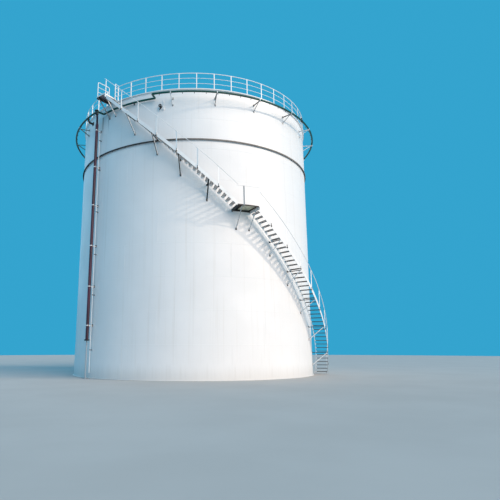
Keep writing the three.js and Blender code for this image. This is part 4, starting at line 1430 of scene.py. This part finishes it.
class MakeRiser(bpy.types.Operator):
    """Maroon riser with its clamps, low flange and foot"""

    bl_idname = "tank.riser"
    bl_label = "Riser"
    bl_options = {"REGISTER", "UNDO"}

    def execute(self, context):
        pipe_r = context.scene.tank_sizes.riser_tube
        head = BYPASS_LEGS[0]
        parts = [tube([on_riser(RISER_LOW + 0.0443), on_riser(RISER_BEND_Z)], pipe_r, "riser maroon",
                      sides=6)]
        reducer = [(0, 0), (pipe_r, 0), (NECK_R + 0.002, REDUCER_H), (0, REDUCER_H)]
        parts.append(turned(reducer, "riser maroon", on_riser(RISER_BEND_Z), steps=24))
        route = [on_riser(RISER_BEND_Z + 0.12), on_riser(RISER_BEND_Z + 0.2),
                 at(head, RING_R, RING_Z - 0.17), at(head, RING_R, RING_Z - 0.05)]
        parts.append(tube(route, NECK_R, "riser maroon", NECK_BEND, 5))
        parts.append(rod(at(head, RING_R, RING_Z - 0.2), at(head, RING_R, RING_Z - 0.045), 0.07,
                         "black fittings", 20))
        for z in RISER_CLAMPS:
            parts += self.clamp(z, pipe_r)
        parts += [band(on_riser(z), UP, pipe_r - 0.001, 0.012, "riser maroon", 0.003, 24)
                  for z in RISER_WELDS]
        finish_piece("riser", parts, "riser_paint", "riser_pipe")
        self.flange()
        self.foot()
        return {"FINISHED"}

    def clamp(self, z, pipe_r):
        """Strap with two bolts, on a bracket from a wall foot"""
        out = at(RISER_AZ, 1, 0)
        side = at(RISER_AZ + 90, 1, 0)
        parts = [band(on_riser(z), UP, pipe_r, 0.05, "white steel", 0.008, 24),
                 bar(at(RISER_AZ, SHELL_R + 0.01, z), at(RISER_AZ, RISER_R - pipe_r, z),
                     channel_section(0.05, 0.045, 0.006), "white steel")]
        for turn in (-1, 1):
            ear = on_riser(z) + side * turn * (pipe_r + 0.02)
            parts.append(rod(ear - out * 0.03, ear + out * 0.03, 0.012, "dark feet", 6))
        return parts + wall_foot(RISER_AZ, z - 0.07, z + 0.07, 0.12)

    def flange(self):
        """Two bolted plates with a gasket between them"""
        low = RISER_LOW
        plate = [(0, 0), (FLANGE_R - 0.003, 0), (FLANGE_R, 0.003), (FLANGE_R, 0.017),
                 (FLANGE_R - 0.003, 0.02), (0, 0.02)]
        parts = [turned(plate, "black fittings", on_riser(z), steps=40) for z in (low, low + 0.0235)]
        parts.append(turned([(0, 0), (0.12, 0), (0.12, 0.0055), (0, 0.0055)], "grey pipe",
                            on_riser(low + 0.019), steps=32))
        parts += bolt_circle(on_riser(low + 0.043), UP, FLANGE_BOLTS_R, 8, 0.032)
        parts += bolt_circle(on_riser(low + 0.001), -UP, FLANGE_BOLTS_R, 8, 0.032)
        finish_piece("low_flange", parts, "black_fittings", "riser_flange")

    def foot(self):
        """Support leg under the flange, with its cap and its bolted base"""
        leg = tube([on_riser(0.02), on_riser(RISER_LOW - 0.02)], 0.036, "grey pipe", sides=5)
        cap = turned([(0, 0), (0.07, 0), (0.07, 0.012), (0.037, 0.02), (0, 0.02)], "grey pipe",
                     on_riser(RISER_LOW - 0.0205), steps=24)
        base = block(RISER_AZ, RISER_R - 0.11, RISER_R + 0.11, 0, 0.022, 0.22, "grey pipe")
        heads = [bolt(at(RISER_AZ + da, RISER_R + dr, 0.021), UP, 0.03)
                 for da in (-0.55, 0.55) for dr in (-0.08, 0.08)]
        finish_piece("riser_leg", [leg, cap, base, *heads], "bare_pipe", "riser_foot")


def on_conduit(z):
    return at(CONDUIT_AZ, CONDUIT_R, z)


class MakeConduit(bpy.types.Operator):
    """Thin conduit with its clips and sleeves"""

    bl_idname = "tank.conduit"
    bl_label = "Conduit"
    bl_options = {"REGISTER", "UNDO"}

    def execute(self, context):
        tube_r = context.scene.tank_sizes.conduit_tube
        parts = [tube([on_conduit(CONDUIT_LOW), on_conduit(CONDUIT_HIGH)], tube_r, "white steel", sides=4)]
        for z in CONDUIT_CLIPS:
            parts += wall_foot(CONDUIT_AZ, z - 0.035, z + 0.035, 0.08, "white steel", 0.01)
            parts.append(bar(at(CONDUIT_AZ, SHELL_R + 0.005, z + 0.015),
                             at(CONDUIT_AZ, CONDUIT_R - tube_r, z + 0.015),
                             channel_section(0.05, 0.03, 0.005), "dark feet"))
            parts.append(band(on_conduit(z), UP, tube_r, 0.045, "dark feet", 0.005, 16))
        parts += [band(on_conduit(z), UP, tube_r - 0.001, 0.05, "white steel", 0.004, 16)
                  for z in CONDUIT_SLEEVES]
        finish_piece("conduit_line", parts, "rail_paint", "conduit")
        return {"FINISHED"}


class MakeSmallFittings(bpy.types.Operator):
    """Hooked pipe under the ring and the foam nozzle with its box"""

    bl_idname = "tank.small_fittings"
    bl_label = "Hooked pipe and nozzle"
    bl_options = {"REGISTER", "UNDO"}

    def execute(self, context):
        self.hooked_pipe()
        self.nozzle()
        self.junction_box()
        return {"FINISHED"}

    def hooked_pipe(self):
        """Pipe that hangs from the ring, turns in and ends in a bolted face"""
        top = RING_Z - 0.06
        low = top - HOOK_DROP
        r = RING_R - HOOK_REACH
        route = [at(HOOK_AZ, RING_R, top), at(HOOK_AZ, RING_R, low), at(HOOK_AZ, r, low)]
        parts = [tube(route, HOOK_TUBE, "black fittings", HOOK_BEND, 6),
                 block(HOOK_AZ, r - 0.021, r - 0.001, low - 0.113, low + 0.113, 0.186, "black fittings",
                       0.004)]
        parts += bolt_circle(at(HOOK_AZ, r - 0.002, low), at(HOOK_AZ, 1, 0), 0.085, 4, 0.024)
        parts.append(band(at(HOOK_AZ, RING_R, top - 0.03), UP, 0.057, 0.05, "black fittings", 0.006))
        finish_piece("hooked_pipe", parts, "black_fittings", "ring_elbow")

    def nozzle(self):
        """Round nozzle with its bolted face and a short bent tail"""
        a = NOZZLE_AZ
        z = NOZZLE_Z
        out = at(a, 1, 0)
        body = turned([(0, -0.006), (0.07, -0.006), (0.07, 0.006), (0.044, 0.01), (0.044, 0.148),
                       (0.088, 0.152), (0.094, 0.157), (0.094, 0.168), (0.088, 0.174), (0.03, 0.175),
                       (0, 0.17)], "black fittings", at(a, SHELL_R + 0.0065, z), out, 28)
        tail = tube([at(a + 0.3, SHELL_R + 0.1, z - 0.03), at(a + 0.3, SHELL_R + 0.1, z - 0.13),
                     at(a - 0.5, SHELL_R + 0.1, z - 0.19)], 0.028, "black fittings", 0.06, 4)
        face = turned([(0, 0), (0.044, 0), (0.044, 0.003), (0.04, 0.006), (0, 0.006)], "strut steel",
                      at(a, SHELL_R + 0.178, z), out, 24)
        heads = bolt_circle(at(a, SHELL_R + 0.18, z), out, 0.076, 6, 0.02)
        finish_piece("nozzle", [body, face, tail, *heads], "black_fittings", "foam_nozzle")

    def junction_box(self):
        """Small box on the wall with its lid and its lead"""
        z = NOZZLE_Z
        box = block(BOX_AZ, SHELL_R - 0.002, SHELL_R + 0.07, z - 0.2, z - 0.08, 0.1, "white steel", 0.006)
        lid = block(BOX_AZ, SHELL_R + 0.069, SHELL_R + 0.078, z - 0.205, z - 0.075, 0.108, "white steel")
        lead = tube([at(BOX_AZ, SHELL_R + 0.03, z - 0.08), at(BOX_AZ, SHELL_R + 0.03, z + 0.37)], 0.012,
                    "white steel")
        finish_piece("junction_box", [box, lid, lead], "rail_paint")


class MakeOpenings(bpy.types.Operator):
    """Manway, outlet nozzle, roof manhole and breather"""

    bl_idname = "tank.openings"
    bl_label = "Openings"
    bl_options = {"REGISTER", "UNDO"}

    def execute(self, context):
        self.opening("manway", at(MANWAY_AZ, SHELL_R, MANWAY_Z), at(MANWAY_AZ, 1, 0), neck_r=0.3, neck=0.19,
                     rim_r=0.39, count=20, slot="shell_paint", node="shell_manway", finish="wall paint")
        self.opening("outlet", at(OUTLET_AZ, SHELL_R, OUTLET_Z), at(OUTLET_AZ, 1, 0), neck_r=0.11, neck=0.17,
                     rim_r=0.17, count=8, slot="shell_paint", node="outlet_nozzle", finish="wall paint")
        self.opening("hatch", at(HATCH_AZ, HATCH_R, SHELL_TOP + dome(HATCH_R)), UP, neck_r=0.25, neck=0.23,
                     rim_r=0.32, count=16, slot="roof_paint", node="roof_manhole", finish="roof paint")
        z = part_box("roof_vent")[0][2]
        body = turned([(0, z), (0.188, z), (0.19, z + 0.002), (0.19, z + 0.02), (0.186, z + 0.024),
                       (0.112, z + 0.026), (0.108, z + 0.03), (0.108, z + 0.23), (0.1, z + 0.235),
                       (0.1, z + 0.3), (0.2, z + 0.305), (0.2, z + 0.29), (0.228, z + 0.288),
                       (0.23, z + 0.292), (0.23, z + 0.33), (0.2, z + 0.352), (0.11, z + 0.4),
                       (0.03, z + 0.427), (0, z + 0.428)], "roof paint", steps=48)
        mesh_ring = turned([(0, z + 0.236), (0.196, z + 0.25), (0.2, z + 0.254), (0.2, z + 0.3),
                            (0, z + 0.3)], "dark feet", steps=48)
        heads = bolt_circle(Vector((0, 0, z + 0.023)), UP, 0.158, 8, 0.026)
        finish_piece("breather", [body, mesh_ring, *heads], "roof_paint", "roof_vent")
        return {"FINISHED"}

    def opening(self, name, start, out, neck_r, neck, rim_r, count, slot, node, finish):
        """Neck, flange and bolted cover along a direction; a wide cover has bigger bolts and a handle"""
        edge = 0.004
        wide = rim_r > 0.2
        reach = neck + 0.0595
        back = -0.02
        pipe = [(0, back), (neck_r + 0.03, back), (neck_r + 0.03, 0.004), (neck_r, 0.014),
                (neck_r, neck - 0.01), (rim_r - edge, neck - 0.01), (rim_r, neck - 0.01 + edge),
                (rim_r, neck + 0.022), (0, neck + 0.022)]
        cover = [(0, neck + 0.0255), (rim_r - edge, neck + 0.0255), (rim_r, neck + 0.03),
                 (rim_r, reach - edge), (rim_r - edge, reach), (neck_r * 0.94, reach),
                 (neck_r * 0.9, reach - edge), (0, reach - edge)]
        gasket = [(0, neck + 0.02), (rim_r - 0.02, neck + 0.02), (rim_r - 0.02, neck + 0.027),
                  (0, neck + 0.027)]
        parts = [turned(pipe, finish, start, out, 64), turned(cover, finish, start, out, 64),
                 turned(gasket, "dark feet", start, out, 48)]
        ring = (neck_r + rim_r) / 2 + 0.01
        size = 0.034 if wide else 0.026
        parts += bolt_circle(start + out * (reach - edge), out, ring, count, size)
        parts += bolt_circle(start + out * (neck - 0.009), -out, ring, count, size)
        if wide:
            parts.append(self.handle(start + out * (reach - 0.006), out, finish))
        finish_piece(name, parts, slot, node)

    def handle(self, root, out, finish):
        """Bent bar across the cover's middle, or low on it where the cover stands upright"""
        if abs(out.z) > 0.5:
            side = out.orthogonal().normalized()
        else:
            side = out.cross(UP)
            root = root - UP * 0.17
        route = [root - side * 0.1, root - side * 0.1 + out * 0.04, root + side * 0.1 + out * 0.04,
                 root + side * 0.1]
        return tube(route, 0.009, finish, 0.025)


# Stage

class SetStage(bpy.types.Operator):
    """Pale floor, soft light and the camera"""

    bl_idname = "tank.stage"
    bl_label = "Stage"
    bl_options = {"REGISTER", "UNDO"}

    def execute(self, context):
        deselect()
        bpy.ops.mesh.primitive_circle_add(
            vertices=96, radius=FLOOR_SPREAD, fill_type="NGON", location=(0, 0, FLOOR_Z))
        floor = bpy.context.object
        floor.name = "studio_floor"
        settle(floor, "studio floor")
        for name, values in SUNS.items():
            self.sun(name, *values)
        world = bpy.data.worlds.new("studio sky")
        world.use_nodes = True
        sky = world.node_tree.nodes["Background"]
        sky.inputs["Color"].default_value = (*SKY, 1)
        sky.inputs["Strength"].default_value = 1.0
        bpy.context.scene.world = world
        bpy.context.scene.view_settings.view_transform = "Standard"
        camera_data = bpy.data.cameras.new("front")
        camera_data.lens = LENS
        camera_data.sensor_width = SENSOR
        camera_data.shift_x, camera_data.shift_y = SHIFT
        camera = bpy.data.objects.new("front", camera_data)
        bpy.context.collection.objects.link(camera)
        camera.location = CAMERA_AT
        camera.rotation_euler = [math.radians(turn) for turn in CAMERA_TURN]
        bpy.context.scene.camera = camera
        return {"FINISHED"}

    def sun(self, name, azimuth, elevation, strength, spread, tint):
        """Sun lamp that shines from an azimuth and an elevation in degrees"""
        lamp_data = bpy.data.lights.new(name, "SUN")
        lamp_data.energy = strength
        lamp_data.angle = math.radians(spread)
        lamp_data.color = tint
        lamp = bpy.data.objects.new(name, lamp_data)
        bpy.context.collection.objects.link(lamp)
        rise = math.radians(elevation)
        towards = at(azimuth, math.cos(rise), math.sin(rise))
        lamp.rotation_euler = towards.to_track_quat("Z", "Y").to_euler()


STEPS = (MixFinishes, MakeWall, MakeRoof, MakeGirder, MakeSprayRing, MakeBypass, MakeStair, MakeDecks,
         MakeStairRails, MakeRoofRail, MakeEntryGuard, MakeRiser, MakeConduit, MakeSmallFittings,
         MakeOpenings, SetStage)


class TankPanel(bpy.types.Panel):
    """Sizes, colours and steps of the tank"""

    bl_idname = "VIEW3D_PT_tank"
    bl_label = "Storage tank"
    bl_space_type = "VIEW_3D"
    bl_region_type = "UI"
    bl_category = "Tank"

    def draw(self, context):
        for group in (context.scene.tank_sizes, context.scene.tank_colours):
            box = self.layout.box()
            for key in group.__annotations__:
                box.prop(group, key)
        for step in STEPS:
            self.layout.operator(step.bl_idname)


CLASSES = (TankSizes, TankColours, *STEPS, TankPanel)


def register():
    for item in CLASSES:
        bpy.utils.register_class(item)
    bpy.types.Scene.tank_sizes = bpy.props.PointerProperty(type=TankSizes)
    bpy.types.Scene.tank_colours = bpy.props.PointerProperty(type=TankColours)


def unregister():
    del bpy.types.Scene.tank_colours
    del bpy.types.Scene.tank_sizes
    for item in reversed(CLASSES):
        bpy.utils.unregister_class(item)


def main():
    register()
    for step in STEPS:
        group, name = step.bl_idname.split(".")
        getattr(getattr(bpy.ops, group), name)()


if __name__ == "__main__":
    main()
